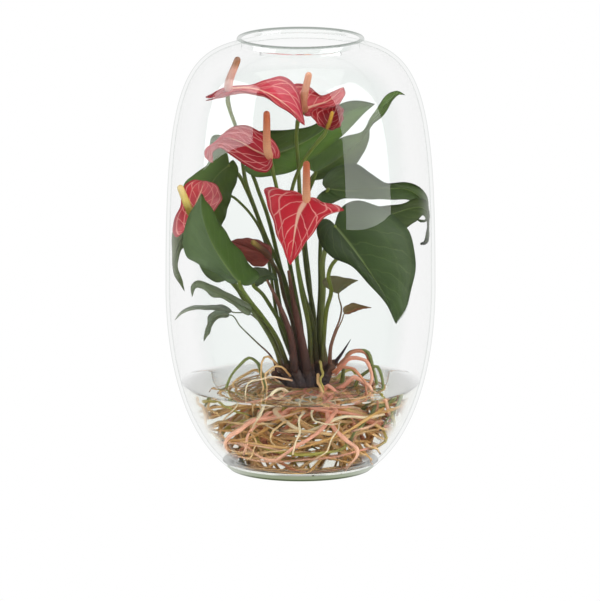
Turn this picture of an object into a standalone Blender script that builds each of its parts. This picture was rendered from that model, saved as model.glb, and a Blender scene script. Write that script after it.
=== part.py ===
"""Anthurium grown in water, in a clear glass vase.

The plant has no soil. Its short woody crown sits at the water line on a tangle of bare
roots, and long stalks carry heart-shaped leaves and red flowers up inside the vase.
The scene is in metres, +Z up. The origin is the middle of the vase's foot, and -Y is the
side that the flowers face. Sizes and control points below are in millimetres.
"""

import math

import bmesh
import bpy
import numpy as np

MM = 0.001
GAP = 0.3

# Vase
VASE_RADIUS = 92.5
VASE_WIDEST_HEIGHT = 130.6
FOOT_RADIUS = 46.0
FOOT_EDGE = (49.6, 1.0)
LOWER_PULLS = ((95.6, 34.3), (92.5, 126.3))
UPPER_PULLS = ((92.5, 256.9), (81.9, 287.8))
NECK = (45.0, 294.5)
LIP_RADIUS = 43.6
LIP_INNER_RADIUS = 40.4
LIP_BEVEL = 1.0
VASE_HEIGHT = 300.0
WALL = 2.6
FLOOR_THICKNESS = 4.0
FLOOR_CORNER = 6.0
FLOOR_RISE = 2.0
WALL_POINTS = 9
VASE_SIDES = 32

# Water
WATER_LEVEL = 58.5
WATER_SIDES = 32
WATER_RINGS = 7
ROOT_ROOM_SHARE = 0.77
ROOT_ROOM_FLOOR = 6.5

# Crown and roots
CROWN_MIDDLE = (7.0, -2.0)
CROWN_FOOT = 56.5
CROWN_FOOT_RADIUS = 4.6
STUB_RADIUS = 2.7
STUB_LEAN = 0.45
ROOT_CORE_RADIUS = 15.0
ROOT_CORE_TOP = CROWN_FOOT - GAP
ROOT_CORE_FOOT = 30.0
ROOT_CORE_SIDES = 10
ROOT_RADIUS = 1.9
ROOT_TIP_SHARE = 0.55
ROOT_POINTS = 9
RING_RADII = (52.5, 45.5, 38.5, 31.5, 24.0)
RING_HEIGHTS = (10.0, 17.5, 25.5, 34.0, 42.5, 50.5)
ROOT_SEED = 7

# Blades, stalks and flower spikes
LEAF_THICKNESS = 0.8
SPATHE_THICKNESS = 0.9
LEAF_ROWS = 13
SPATHE_ROWS = 12
YOUNG_ROWS = 8
ACROSS = 2
YOUNG_ACROSS = 1
LOBE_SHARE = 0.28
LEAF_ARCH = 0.10
SPATHE_ARCH = 0.12
SPADIX_RADIUS = {"grown": 2.9, "young": 1.5, "old": 2.3}
SPADIX_TIP_SHARE = 0.8
SPADIX_SIDES = 8
SPADIX_RINGS = 10
SPADIX_BUMP = 0.07
STALK_TIP_SHARE = 0.8
YOUNG_STALK_TIP_SHARE = 0.7
TUBE_ROUNDING = 1
STALK_STEP = 13.0
SHEATH_RADIUS = 3.6
SHEATH_TIP_SHARE = 0.5
BUD_SCALE_RADIUS = 2.0
BUD_SCALE_TIP_SHARE = 0.25
BUD_SCALE_STEP = 6.0
STUB_SIDES = 6
STUB_DROP = 1.3
GOLDEN_ANGLE = 137.5
ROOT_SWEEP = (90.0, 210.0)
ROOT_DRIFT = 2.6
ROOT_LEAD = ((0.0, 0.15, 0.0), (12.0, 0.5, 0.4), (30.0, 0.85, 1.0))
ROOT_LEAD_TURN = 50.0
ROOT_TURN_STEP = 30.0
WATER_CLEARANCE = 0.6

# Control points, (x, y, z). A blade's outline runs from the stalk's joint round each
# basal lobe to the tip, its midrib from joint to tip, and a stalk from crown to joint.
LEAVES = {
    "right_front": {
        "left": (
            (17.5, -23.5, 178.5), (11.5, -27.5, 174), (12.5, -33, 164.5), (21, -36.5, 154),
            (34, -36.5, 148), (46.5, -40.5, 135.5), (57.5, -44.5, 123.5),
        ),
        "midrib": (
            (23.5, -25, 173), (34, -29.5, 160.5), (45, -35, 146), (57.5, -42.5, 127.5),
            (64.5, -50, 110),
        ),
        "right": (
            (26, -20.5, 181), (32, -16.5, 187.5), (39.5, -14, 189.5), (50.5, -14, 185.5),
            (63, -15, 180), (72.5, -18.5, 170.5), (78, -24.5, 156.5), (76.5, -36, 134.5),
            (71, -44.5, 118.5),
        ),
        "stalk": (
            (15, -8, 72.5), (16, -11, 94.5), (18, -16, 114.5), (21, -19, 127.5), (19, -22, 138),
            (21, -24, 145.5), (26, -24, 152.5), (26.5, -22, 163.5), (25, -22.5, 170),
        ),
        "stalk_radius": 1.7,
    },
    "right_arching": {
        "left": (
            (15, 15.5, 196.5), (20.5, 20, 204), (28.5, 22, 207.5), (38, 22.5, 208),
            (48.5, 18, 202), (61, 13.5, 195.5), (70.5, 14.5, 197), (81, 12, 194),
            (87, 7.5, 187.5), (87.5, 1.5, 178.5), (87.5, -5, 168.5), (87.5, -9.5, 161.5),
        ),
        "midrib": (
            (19, 12, 192), (30.5, 11, 190.5), (46.5, 11.5, 192), (61, 11.5, 192.5),
            (72.5, 11, 192), (81.5, 8, 187.5), (87.5, 3, 180), (87.5, -3.5, 171),
            (87.5, -8.5, 163.5), (82, 14, 152.5),
        ),
        "right": (
            (12.5, 10.5, 189), (10.5, 7, 184.5), (19, 6, 183), (30, 8, 186), (46.5, 7.5, 186),
            (61.5, 7, 185.5), (74, 7, 186), (81, 4, 182), (85.5, 0, 176), (87.5, -5, 168.5),
            (85.5, -8.5, 163),
        ),
        "stalk": (
            (14, 5.5, 72.5), (12.5, 7.5, 94.5), (13.5, 9, 122.5), (13.5, 10, 150),
            (15, 11.5, 174.5), (17.5, 13, 189),
        ),
        "stalk_radius": 1.7,
    },
    "right_back": {
        "left": (
            (29, -3, 179), (32, -0.5, 184.5), (39.5, 0, 186.5), (49, -1.5, 183),
            (61.5, -2, 183.5), (71, -1.5, 185), (79.5, -0.5, 188), (86.5, -1.5, 186.5),
            (87, -3.5, 181.5), (87.5, -6.5, 175),
        ),
        "midrib": (
            (35.5, -5, 175.5), (49, -5, 176), (63, -4.5, 178), (75.5, -3.5, 181.5),
            (83, -3.5, 182), (87, -5, 179), (87, -7.5, 174), (79, -10, 175),
        ),
        "right": (
            (29, -6.5, 171.5), (34, -11, 162.5), (46.5, -13.5, 159), (61.5, -12, 162.5),
            (72.5, -9.5, 168.5), (79, -7, 173.5), (83.5, -5.5, 177.5), (85.5, -7, 175),
            (83.5, -8, 172.5),
        ),
        "stalk": (
            (17, -2, 72.5), (14, -2, 96.5), (15.5, -3, 124.5), (16, -4, 149.5), (22.5, -4, 164),
            (33.5, -3.5, 172),
        ),
        "stalk_radius": 2.2,
    },
    "top_centre": {
        "left": (
            (-33.5, 13.5, 217.5), (-37.5, 15, 225), (-32, 18, 230), (-21, 20.5, 231.5),
            (-7, 23.5, 231.5), (3, 26, 232.5), (13.5, 29.5, 236.5), (26, 35.5, 247),
            (34, 38, 249), (44.5, 40, 248.5),
        ),
        "midrib": (
            (-26.5, 14, 214), (-12.5, 18, 217), (-0.5, 22, 221.5), (12, 26.5, 228),
            (27, 33, 239), (39.5, 37.5, 244.5), (51.5, 40.5, 246.5),
        ),
        "right": (
            (-34.5, 11.5, 212), (-39, 9.5, 207), (-32.5, 9, 202), (-22.5, 11, 201),
            (-10.5, 14, 202.5), (3, 18.5, 208), (17, 24.5, 217.5), (28.5, 29.5, 225.5),
            (35.5, 33, 232.5), (41, 35.5, 237.5), (46.5, 38.5, 242.5),
        ),
        "stalk": (
            (-1, 10, 72.5), (-7, 14, 107.5), (-15, 15, 142), (-23.5, 14, 176),
            (-30.5, 14, 195.5), (-33.5, 16, 206.5), (-27, 16, 212.5),
        ),
        "stalk_radius": 1.7,
    },
    "top_right": {
        "left": (
            (5, 35, 204), (3, 36, 211), (9.5, 35.5, 216), (18, 35, 219.5), (28.5, 34, 224),
            (43, 33, 229.5), (48.5, 33, 237.5), (54.5, 33.5, 248), (61, 33.5, 255),
            (67, 33, 257),
        ),
        "midrib": (
            (10.5, 34, 200), (21.5, 33.5, 206.5), (34, 32.5, 216), (43.5, 32.5, 224.5),
            (49, 32.5, 233.5), (56, 32.5, 242.5), (62.5, 33, 251), (68, 32.5, 255),
            (72, 32, 254),
        ),
        "right": (
            (6, 34, 194.5), (12, 33.5, 194.5), (20.5, 32.5, 197.5), (28.5, 31.5, 199),
            (35.5, 31, 203), (41, 31.5, 210), (45, 31.5, 216), (47, 32, 223), (48.5, 32.5, 232),
            (56, 32.5, 238.5), (60, 32.5, 244), (63.5, 32.5, 250), (68, 32.5, 254.5),
        ),
        "stalk": (
            (8, 9, 72.5), (8, 13, 100.5), (6, 18, 127.5), (3, 24, 154.5), (2.5, 30, 178),
            (6, 34.5, 187.5), (8, 34.5, 193),
        ),
        "stalk_radius": 1.7,
    },
    "upper_left": {
        "left": (
            (-52, 7.5, 220.5), (-54.5, 8, 230.5), (-59.5, 7.5, 230.5), (-62.5, 6.5, 221),
            (-63.5, 5.5, 211.5), (-72, 3.5, 204.5), (-79, 2, 199), (-81, 1, 187),
            (-75.5, 0.5, 175.5), (-64.5, 1.5, 168),
        ),
        "midrib": (
            (-49, 7, 209.5), (-54.5, 6.5, 205.5), (-61, 5, 197.5), (-63.5, 4, 186.5),
            (-61, 3, 174), (-55.5, 2, 165),
        ),
        "right": (
            (-46.5, 7.5, 213.5), (-43, 6.5, 208), (-43, 6, 201.5), (-46, 5, 193), (-49, 4, 183),
            (-52, 3, 173),
        ),
        "stalk": (
            (-4, 4, 72.5), (-12.5, 6, 103), (-19.5, 8, 142), (-29, 9, 172.5), (-37, 9.5, 192),
            (-42.5, 9.5, 202.5), (-48, 9.5, 207.5),
        ),
        "stalk_radius": 1.7,
    },
    "front_left": {
        "left": (
            (-47, -43, 137), (-55.5, -39, 141.5), (-63.5, -35, 146), (-72, -30.5, 149),
            (-77.5, -28, 152), (-80, -27.5, 158.5), (-79.5, -29, 170.5), (-75.5, -33, 183.5),
            (-70.5, -36.5, 192),
        ),
        "midrib": (
            (-41.5, -46, 138.5), (-45, -45, 142.5), (-52, -42.5, 152), (-59, -40.5, 163.5),
            (-64.5, -39, 177), (-67, -38.5, 189.5), (-67, -39.5, 199),
        ),
        "right": (
            (-37, -47.5, 136.5), (-30.5, -49.5, 138.5), (-28, -51, 143), (-33.5, -49, 150.5),
            (-41.5, -46.5, 161), (-48.5, -44.5, 169.5), (-55.5, -42.5, 180.5),
            (-61.5, -41, 190.5),
        ),
        "stalk": (
            (-8.5, -12, 72.5), (-16, -20, 94), (-26.5, -32, 112.5), (-35.5, -42, 126.5),
            (-41, -44.5, 136),
        ),
        "stalk_radius": 1.7,
    },
    "low_left": {
        "left": (
            (-53.5, -12, 132), (-60, -11, 132.5), (-66.5, -9.5, 138), (-70, -9, 145.5),
            (-71, -8.5, 153.5),
        ),
        "midrib": (
            (-49, -13, 135.5), (-55.5, -12, 144), (-62.5, -10.5, 152.5), (-70, -9, 162),
        ),
        "right": (
            (-43.5, -14, 140.5), (-46, -13.5, 150.5), (-52.5, -12.5, 158), (-61.5, -10.5, 162),
        ),
        "stalk": (
            (-9, -2.5, 72.5), (-19.5, -6, 93.5), (-31.5, -9, 110.5), (-41, -11.5, 124),
            (-48, -12, 133.5),
        ),
        "stalk_radius": 1.7,
    },
    "low_centre": {
        "left": (
            (-37, -23.5, 137), (-34.5, -22.5, 142.5), (-27, -21, 144), (-21, -21, 141.5),
        ),
        "midrib": (
            (-32.5, -24, 133.5), (-27, -22.5, 137.5), (-21, -21.5, 138.5), (-15, -22, 135),
        ),
        "right": (
            (-29, -24, 131.5), (-24.5, -23, 134), (-19.5, -22.5, 135.5),
        ),
        "stalk": (
            (-4, -6, 72.5), (-10.5, -11, 96.5), (-20.5, -17, 116), (-27, -21, 126.5),
            (-31.5, -22.5, 131),
        ),
        "stalk_radius": 1.7,
    },
    "far_left": {
        "left": (
            (-65.5, 17, 190), (-76, 13, 186), (-84.5, 8, 175), (-88, 3.5, 162), (-88, 0, 148.5),
            (-87.5, -1.5, 138.5), (-83.5, -2, 129.5),
        ),
        "midrib": (
            (-59.5, 18, 185.5), (-65.5, 14.5, 179.5), (-74.5, 9, 168), (-83, 4, 156),
            (-86.5, 0, 143.5), (-83.5, -1.5, 132.5), (-79.5, -2, 123.5),
        ),
        "right": (
            (-59.5, 16, 176.5), (-65.5, 11, 164), (-76, 6, 156), (-82, 3, 150),
            (-84.5, 0.5, 143.5), (-82, -1, 133.5),
        ),
        "stalk": (
            (-5, 9, 72.5), (-15, 13, 99), (-21, 18, 134.5), (-26.5, 20, 160), (-33.5, 21, 172),
            (-40, 21, 179.5), (-48.5, 21, 186), (-58, 20, 185.5),
        ),
        "stalk_radius": 1.2,
    },
}
YOUNG_LEAVES = {
    "narrow_left": {
        "left": (
            (-34.5, -28, 119), (-39.5, -26, 122), (-48.5, -25, 126.5), (-59, -24, 131.5),
            (-67, -23, 134.5), (-71, -24, 135), (-74.5, -25, 132.5),
        ),
        "midrib": (
            (-33.5, -34, 116), (-39.5, -33.5, 119), (-48.5, -32.5, 124.5), (-59, -31.5, 129.5),
            (-66.5, -30.5, 133.5), (-71, -30, 133.5), (-74, -28, 124.5),
        ),
        "right": (
            (-35.5, -40, 114), (-41.5, -39, 117.5), (-47, -38, 122), (-54, -37, 125.5),
            (-60, -35, 126), (-65.5, -33, 130.5), (-70.5, -31, 131.5),
        ),
        "stalk": (
            (-13, -14, 71), (-17.5, -22, 87.5), (-26.5, -30, 105.5), (-33, -34, 115.5),
        ),
        "stalk_radius": 1.4,
    },
    "thread_left": {
        "left": (
            (-49, -10, 113.5), (-52.5, -8, 115), (-64.5, -8, 114.5), (-76, -9, 114),
            (-82, -11, 110.5),
        ),
        "midrib": (
            (-47, -14, 111.5), (-52.5, -14, 113.5), (-64.5, -14, 114), (-76, -14, 113.5),
            (-82, -14, 110.5), (-86, -13, 105.5),
        ),
        "right": (
            (-50, -18, 111), (-53.5, -19, 112.5), (-64.5, -17, 113.5), (-75.5, -15, 112.5),
            (-81, -14, 110),
        ),
        "stalk": (
            (-11, 3, 71), (-21, 1, 90), (-29, -3, 103.5), (-34.5, -6, 108.5), (-47, -14, 111.5),
        ),
        "stalk_radius": 1.0,
    },
    "curled_left": {
        "left": (
            (-51.5, -34, 116), (-57.5, -35, 116.5), (-62.5, -34, 113), (-63.5, -33, 106.5),
            (-65.5, -31, 100),
        ),
        "midrib": (
            (-48.5, -30, 112.5), (-54, -30, 113), (-60, -30, 110), (-62.5, -30, 104.5),
            (-66, -29, 94),
        ),
        "right": (
            (-51.5, -26, 110), (-57, -24, 109), (-60, -25, 105), (-61.5, -27, 100),
        ),
        "stalk": (
            (-16, -8, 66), (-19.5, -16, 80), (-30.5, -22, 92.5), (-41, -27, 104),
            (-48, -30, 112.5),
        ),
        "stalk_radius": 0.9,
    },
    "small_right": {
        "left": (
            (20.5, -14, 126.5), (15, -13.5, 133), (19, -12.5, 136), (30, -11.5, 135),
        ),
        "midrib": (
            (26, -14, 124.5), (29, -12.5, 129.5), (39.5, -11, 133),
        ),
        "right": (
            (29, -13, 126.5), (34, -12, 130),
        ),
        "stalk": (
            (19.5, -7, 71), (20.5, -11, 87.5), (23, -12, 96), (27, -13, 107), (28, -14, 114),
            (26, -14, 123),
        ),
        "stalk_radius": 1.1,
    },
    "brown_right": {
        "left": (
            (29, -21.5, 115.5), (31.5, -21, 117.5), (35.5, -20, 119), (41.5, -19.5, 117.5),
        ),
        "midrib": (
            (30, -22, 112), (35.5, -21, 114.5), (41.5, -20, 116), (48.5, -19.5, 115.5),
        ),
        "right": (
            (32, -22, 111.5), (36, -21, 112.5), (41.5, -20.5, 114.5),
        ),
        "stalk": (
            (21, -12, 71), (21.5, -17, 88.5), (25, -19, 99.5), (28.5, -21, 107.5),
            (30, -22, 112),
        ),
        "stalk_radius": 0.9,
    },
}
FLOWERS = {
    "far_top": {
        "left": (
            (-54, -8, 263.5), (-61, -3, 261), (-65, 1, 258), (-59.5, 5, 260.5), (-50, 7, 264),
            (-41.5, 6, 266), (-32, 4, 266.5), (-23.5, 2, 270.5), (-14, -2, 274), (-7, -8, 272),
            (-1.5, -14, 264.5), (1, -19, 254.5),
        ),
        "midrib": (
            (-49, -12, 265.5), (-38, -12, 266.5), (-26, -14, 264.5), (-15, -17, 259),
            (-5, -21, 251.5), (3, -22, 242.5),
        ),
        "right": (
            (-54, -15, 262), (-61, -18, 259), (-64.5, -20, 259), (-58, -24, 261),
            (-50, -27, 264.5), (-41.5, -28, 267), (-33.5, -28, 266.5), (-25, -27, 264.5),
            (-18, -26, 259.5), (-10.5, -25, 254), (-4, -24, 249),
        ),
        "spadix": (
            (-49, -13, 267.5), (-43, -15, 286.5),
        ),
        "stalk": (
            (1, 5, 72.5), (-5, 7, 103), (-12, 7, 133), (-23.5, 4, 159.5), (-31.5, 0, 181.5),
            (-37.5, 0, 199.5), (-40, 1, 215), (-44.5, -3, 239), (-48, -9, 250.5),
            (-49.5, -12, 258.5), (-49, -12.5, 263.5),
        ),
        "stalk_radius": 1.7,
    },
    "top": {
        "left": (
            (-1, -1.5, 253), (-4, 3, 261), (-4.5, 6, 266.5), (0.5, 6.5, 267), (7, 4.5, 264),
            (15, 2, 259), (22.5, 3.5, 262),
        ),
        "midrib": (
            (3, -3, 250), (10.5, -1.5, 252.5), (19, 0, 255.5), (26, 3, 261), (29.5, 5, 264.5),
        ),
        "right": (
            (2.5, -4.5, 247), (8, -5.5, 245.5), (15, -4.5, 247.5), (21, -3, 250),
            (27, -0.5, 254.5), (30.5, 2.5, 260),
        ),
        "spadix": (
            (2, -8, 253), (5.5, -11, 276),
        ),
        "stalk": (
            (9, 3, 72.5), (9.5, 5, 102), (5, 5, 130), (1.5, 4, 162), (-0.5, 2, 190),
            (-1.5, 0, 211.5), (-2.5, -3, 236.5), (-1, -3.5, 244.5), (1.5, -4, 248),
        ),
        "stalk_radius": 1.7,
    },
    "young": {
        "left": (
            (12.5, -19, 242.5), (8, -22, 248), (7, -22, 252), (11.5, -20, 254),
            (17.5, -18, 253.5),
        ),
        "midrib": (
            (18, -14, 239), (20.5, -11, 244), (23, -10, 249), (25, -14, 255),
        ),
        "right": (
            (23, -18, 239), (28, -20, 243), (29, -20, 248.5), (29, -18, 253),
        ),
        "spadix": (
            (19.5, -16.5, 243), (21.5, -19, 250.5),
        ),
        "stalk": (
            (11, -3, 72.5), (8.5, -5, 100.5), (1.5, -8, 125.5), (-4.5, -9, 161), (-6.5, -8, 192),
            (-2.5, -8, 206), (3, -9, 217), (12, -12, 229.5), (17.5, -14, 237),
        ),
        "stalk_radius": 1.6,
    },
    "mid_left": {
        "left": (
            (-15, -16, 218), (-14, -10, 222.5), (-22.5, -9, 233), (-28, -7.5, 236),
            (-38, -5.5, 239.5), (-47, -5.5, 238.5), (-52.5, -7, 234), (-59.5, -9, 227.5),
            (-64.5, -8, 223.5), (-65, -4, 217.5),
        ),
        "midrib": (
            (-21, -14, 219), (-31.5, -12, 223.5), (-41.5, -9.5, 229), (-51.5, -8, 231.5),
            (-58, -14, 227.5), (-63, -11, 222), (-63, -7, 216.5), (-59.5, -9, 214),
        ),
        "right": (
            (-19, -20, 215.5), (-22.5, -17.5, 209.5), (-29, -17, 209.5), (-38, -15, 214),
            (-46, -13, 219), (-52, -11, 223.5), (-56, -20, 226), (-59.5, -17, 222.5),
            (-60, -13, 217.5),
        ),
        "spadix": (
            (-22, -18, 222.5), (-23, -24, 250.5),
        ),
        "stalk": (
            (3, -1, 72.5), (-0.5, -3, 105), (-6, -5, 135.5), (-11.5, -7, 167.5), (-16, -11, 196),
            (-19.5, -14, 212), (-20.5, -14.5, 217),
        ),
        "stalk_radius": 1.7,
    },
    "far_left": {
        "left": (
            (-76.5, -15.5, 174), (-80, -14.5, 167), (-85.5, -12.5, 163.5), (-87.5, -9, 166.5),
            (-87, -9, 172), (-85, -10.5, 178.5), (-82, -11, 185), (-81.5, -10, 192.5),
            (-79, -10.5, 199), (-72.5, -13, 203),
        ),
        "midrib": (
            (-74, -16, 179.5), (-71, -16, 188), (-67, -17, 197.5), (-65.5, -16.5, 203),
        ),
        "right": (
            (-71, -18, 175), (-66.5, -20.5, 176), (-61, -22.5, 181.5), (-55.5, -24.5, 187.5),
            (-53.5, -24.5, 193), (-55.5, -22.5, 199), (-60, -19.5, 202.5),
        ),
        "spadix": (
            (-75, -20, 182), (-82, -16, 198),
        ),
        "stalk": (
            (-8.5, -7, 72.5), (-22.5, -15, 99), (-38, -22, 121), (-52, -25, 146.5),
            (-65, -20, 164.5), (-72, -14, 176.5),
        ),
        "stalk_radius": 1.7,
    },
    "front": {
        "left": (
            (-0.5, -42.5, 199), (-10, -40, 201), (-19.5, -38, 202.5), (-24.5, -37, 201),
            (-23.5, -38, 194.5), (-19.5, -40.5, 182.5), (-15, -43.5, 168), (-10.5, -45.5, 158),
        ),
        "midrib": (
            (4, -44, 195), (-0.5, -44.5, 187), (-3, -45.5, 177.5), (-5, -46.5, 164.5),
            (-7, -47.5, 150.5),
        ),
        "right": (
            (7, -43, 196), (18, -41, 191.5), (27, -39, 189), (29.5, -38.5, 187),
            (19, -41, 184.5), (9.5, -43.5, 173.5), (2.5, -45, 163.5), (-4, -47, 154.5),
        ),
        "spadix": (
            (4, -48, 197), (4, -52, 221),
        ),
        "stalk": (
            (7, -9, 72.5), (6, -17, 99.5), (0.5, -30, 130), (-2.5, -38, 156), (-1.5, -41, 174),
            (1.5, -42, 188), (4, -42.5, 193),
        ),
        "stalk_radius": 1.7,
    },
    "old": {
        "left": (
            (-19.5, -24.5, 157.5), (-24.5, -24, 161.5), (-33.5, -23.5, 164.5),
            (-41.5, -24, 164.5),
        ),
        "midrib": (
            (-21.5, -26, 152), (-29, -25.5, 155.5), (-39, -25, 159.5), (-48.5, -25, 162.5),
        ),
        "right": (
            (-22.5, -26, 148), (-29, -25.5, 145), (-36, -25, 148.5), (-43, -25, 155.5),
        ),
        "spadix": (
            (-23.5, -30, 155.5), (-32, -36, 164),
        ),
        "stalk": (
            (0.5, -5.5, 72.5), (-5, -10, 101.5), (-11.5, -16, 123.5), (-16, -22, 142.5),
            (-20.5, -25, 150),
        ),
        "stalk_radius": 1.5,
    },
}
SHEATHS = {
    "sheath_tall": (
        (4, -14, 72.5), (0.5, -19, 94), (-5, -24, 121.5), (-8, -27, 142),
    ),
    "sheath_short": (
        (-4, -16, 72.5), (-7, -22, 97.5), (-15, -27, 120), (-22.5, -31, 136.5),
    ),
}
BUD_SCALE = ((22, 4.5, 70.5), (27, 4, 77), (34.5, 3, 89))
ARCHING_ROOTS = (
    ((-2, -4, 42), (-20, -10, 50), (-26, -12, 64), (-29, -13, 76), (-35, -14, 80),
     (-43, -14, 72), (-50, -12, 62), (-54, -8, 48)),
    ((14, 2, 42), (27, 7, 54), (30, 8, 70), (36, 8, 80), (44, 7, 80.5), (50, 6, 70),
     (52, 4, 56), (49, 0, 42)),
    ((16, -4, 40), (34, -6, 53), (44, -9, 68), (51, -10, 73), (56.5, -10, 64),
     (54, -12, 50), (46, -16, 37)),
    ((11, -8, 42), (15, -18, 54), (19, -21, 61.5), (27, -23, 50), (32, -24, 36),
     (30, -32, 26)),
    ((15, -5, 45), (27, -13, 58), (38, -16, 66), (47, -18, 60), (52, -20, 46)),
    ((0, 0, 44), (-20, 3, 58), (-31, 1, 68), (-44, -2, 61), (-53, -4, 46)),
    ((2, 4, 44), (-8, 22, 58), (-15, 32, 64), (-22, 42, 54), (-24, 46, 40)),
    ((13, 4, 44), (26, 22, 58), (34, 30, 63), (41, 36, 52), (40, 38, 38)),
    ((3, -9, 42), (-6, -22, 54), (-14, -32, 62), (-24, -42, 52), (-30, -44, 38)),
)


def mm(points):
    """Millimetres to metres."""
    return np.asarray(points, dtype=float) * MM


def bezier(start, pull_start, pull_end, end, count):
    """Points of a cubic Bezier curve."""
    t = np.linspace(0.0, 1.0, count)[:, None]
    corners = [np.array(corner) for corner in (start, pull_start, pull_end, end)]
    weights = ((1 - t) ** 3, 3 * t * (1 - t) ** 2, 3 * t * t * (1 - t), t**3)
    return sum(weight * corner for weight, corner in zip(weights, corners))


def smooth_path(points, shares):
    """A smooth curve through the points, read at shares of its length from 0 to 1."""
    points = np.asarray(points, dtype=float)
    steps = np.linalg.norm(np.diff(points, axis=0), axis=1)
    along = np.concatenate([[0.0], np.cumsum(steps)])
    slopes = np.gradient(points, along, axis=0)
    wanted = np.clip(np.asarray(shares, dtype=float), 0.0, 1.0) * along[-1]
    piece = np.clip(np.searchsorted(along, wanted, side="right") - 1, 0, len(points) - 2)
    span = steps[piece][:, None]
    u = ((wanted - along[piece]) / steps[piece])[:, None]
    return (
        (2 * u**3 - 3 * u**2 + 1) * points[piece]
        + (u**3 - 2 * u**2 + u) * span * slopes[piece]
        + (3 * u**2 - 2 * u**3) * points[piece + 1]
        + (u**3 - u**2) * span * slopes[piece + 1]
    )


def path_length(points):
    return np.linalg.norm(np.diff(np.asarray(points, dtype=float), axis=0), axis=1).sum()


def material(name, colour, roughness, transmission=0.0):
    made = bpy.data.materials.new(name)
    made.use_nodes = True
    shader = made.node_tree.nodes["Principled BSDF"]
    shader.inputs["Base Color"].default_value = (*colour, 1.0)
    shader.inputs["Roughness"].default_value = roughness
    shader.inputs["Metallic"].default_value = 0.0
    shader.inputs["Transmission Weight"].default_value = transmission
    return made


def place(name, mesh, look):
    """Put a mesh in the scene as one smooth-shaded piece."""
    piece = bpy.data.objects.new(name, mesh)
    bpy.context.scene.collection.objects.link(piece)
    if look is not None:
        mesh.materials.append(look)
    mesh.shade_smooth()
    mesh.set_sharp_from_angle(angle=math.radians(50))
    return piece


def mesh_of(name, points, faces):
    mesh = bpy.data.meshes.new(name)
    mesh.from_pydata(mm(points).tolist(), [], faces)
    return mesh


def turned(name, profile, sides, look):
    """A solid turned round Z from a profile that runs down its outer side."""
    points = [(radius, 0.0, height) for radius, height in profile]
    edges = [(i, i + 1) for i in range(len(points) - 1)]
    mesh = bpy.data.meshes.new(name)
    mesh.from_pydata(mm(points).tolist(), edges, [])
    piece = place(name, mesh, look)
    screw = piece.modifiers.new("Turn", "SCREW")
    screw.steps = screw.render_steps = sides
    screw.use_merge_vertices = True
    screw.merge_threshold = 0.00001
    return piece


def outer_wall(count):
    """The vase's outer side from foot to neck, as (radius, height)."""
    widest = (VASE_RADIUS, VASE_WIDEST_HEIGHT)
    lower = bezier(FOOT_EDGE, *LOWER_PULLS, widest, count)
    upper = bezier(widest, *UPPER_PULLS, NECK, count)
    return np.vstack([lower, upper[1:]])


def inner_wall(count):
    """The outer side moved in by the wall, from the floor to the lip's inner edge."""
    outer = outer_wall(count)
    run = np.gradient(outer, axis=0)
    run /= np.linalg.norm(run, axis=1)[:, None]
    inner = outer + WALL * np.column_stack([-run[:, 1], run[:, 0]])
    wall = inner[(inner[:, 1] > FLOOR_THICKNESS + FLOOR_RISE) & (inner[:, 0] > LIP_INNER_RADIUS)]
    corner = (wall[0, 0] - FLOOR_CORNER, FLOOR_THICKNESS)
    return np.vstack([corner, wall])


def inner_radius(height):
    wall = inner_wall(WALL_POINTS)
    return float(np.interp(height, wall[:, 1], wall[:, 0]))


def make_vase():
    """Clear glass: thick floor, barrel body, closed-in shoulder and a short round lip."""
    inside = [(0.0, FLOOR_THICKNESS), *inner_wall(WALL_POINTS)]
    lip = [
        (LIP_INNER_RADIUS, NECK[1] - LIP_BEVEL),
        (LIP_INNER_RADIUS, VASE_HEIGHT - LIP_BEVEL),
        (LIP_INNER_RADIUS + LIP_BEVEL, VASE_HEIGHT),
        (LIP_RADIUS - LIP_BEVEL, VASE_HEIGHT),
        (LIP_RADIUS, VASE_HEIGHT - LIP_BEVEL),
        (LIP_RADIUS, NECK[1] + LIP_BEVEL),
    ]
    outside = [*outer_wall(WALL_POINTS)[::-1], (FOOT_RADIUS, 0.0), (0.0, 0.0)]
    look = material("clear_glass", (0.93, 0.97, 0.95), 0.02, transmission=1.0)
    return turned("vase", [*inside, *lip, *outside], VASE_SIDES, look)


def make_water():
    """Water up to its level, with one plain open hole that the root tangle stands in."""
    heights = np.linspace(ROOT_ROOM_FLOOR, WATER_LEVEL, WATER_RINGS)
    hole = [(ROOT_ROOM_SHARE * inner_radius(h), h) for h in heights]
    bottom = FLOOR_THICKNESS + GAP
    heights = np.linspace(WATER_LEVEL, bottom, WATER_RINGS)
    sides = [(inner_radius(h) - WATER_CLEARANCE, h) for h in heights]
    profile = [(0.0, ROOT_ROOM_FLOOR), *hole, *sides, (0.0, bottom)]
    look = material("water", (0.90, 0.95, 0.93), 0.0, transmission=1.0)
    return turned("water", profile, WATER_SIDES, look)


def blade_points(left, midrib, right, rows, across, arch):
    """A blade's middle surface, from the stalk's joint round both lobes to the tip.

    Row t runs from the left edge over the midrib to the right edge. The rows before
    LOBE_SHARE fan out from the joint, which makes the two basal lobes. Each half is
    arched along the blade's own normal by a share of its width.
    """
    joint, tip = np.array(midrib[0]), np.array(midrib[-1])
    shares = np.linspace(0.0, 1.0, rows)[1:-1]
    edges = [smooth_path([joint, *edge, tip], shares) for edge in (left, right)]
    ribs = smooth_path(midrib, (shares - LOBE_SHARE) / (1 - LOBE_SHARE))
    steps = np.arange(across, 0, -1) / across
    halves = []
    for edge, turn in zip(edges, (1.0, -1.0)):
        width = edge - ribs
        normal = turn * np.cross(width, tip - joint)
        normal /= np.linalg.norm(normal, axis=1)[:, None]
        lift = arch * np.linalg.norm(width, axis=1)[:, None] * normal
        halves.append([ribs + s * width + 4 * s * (1 - s) * lift for s in steps])
    return joint, tip, np.array(halves[0]), ribs, np.array(halves[1])


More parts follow.
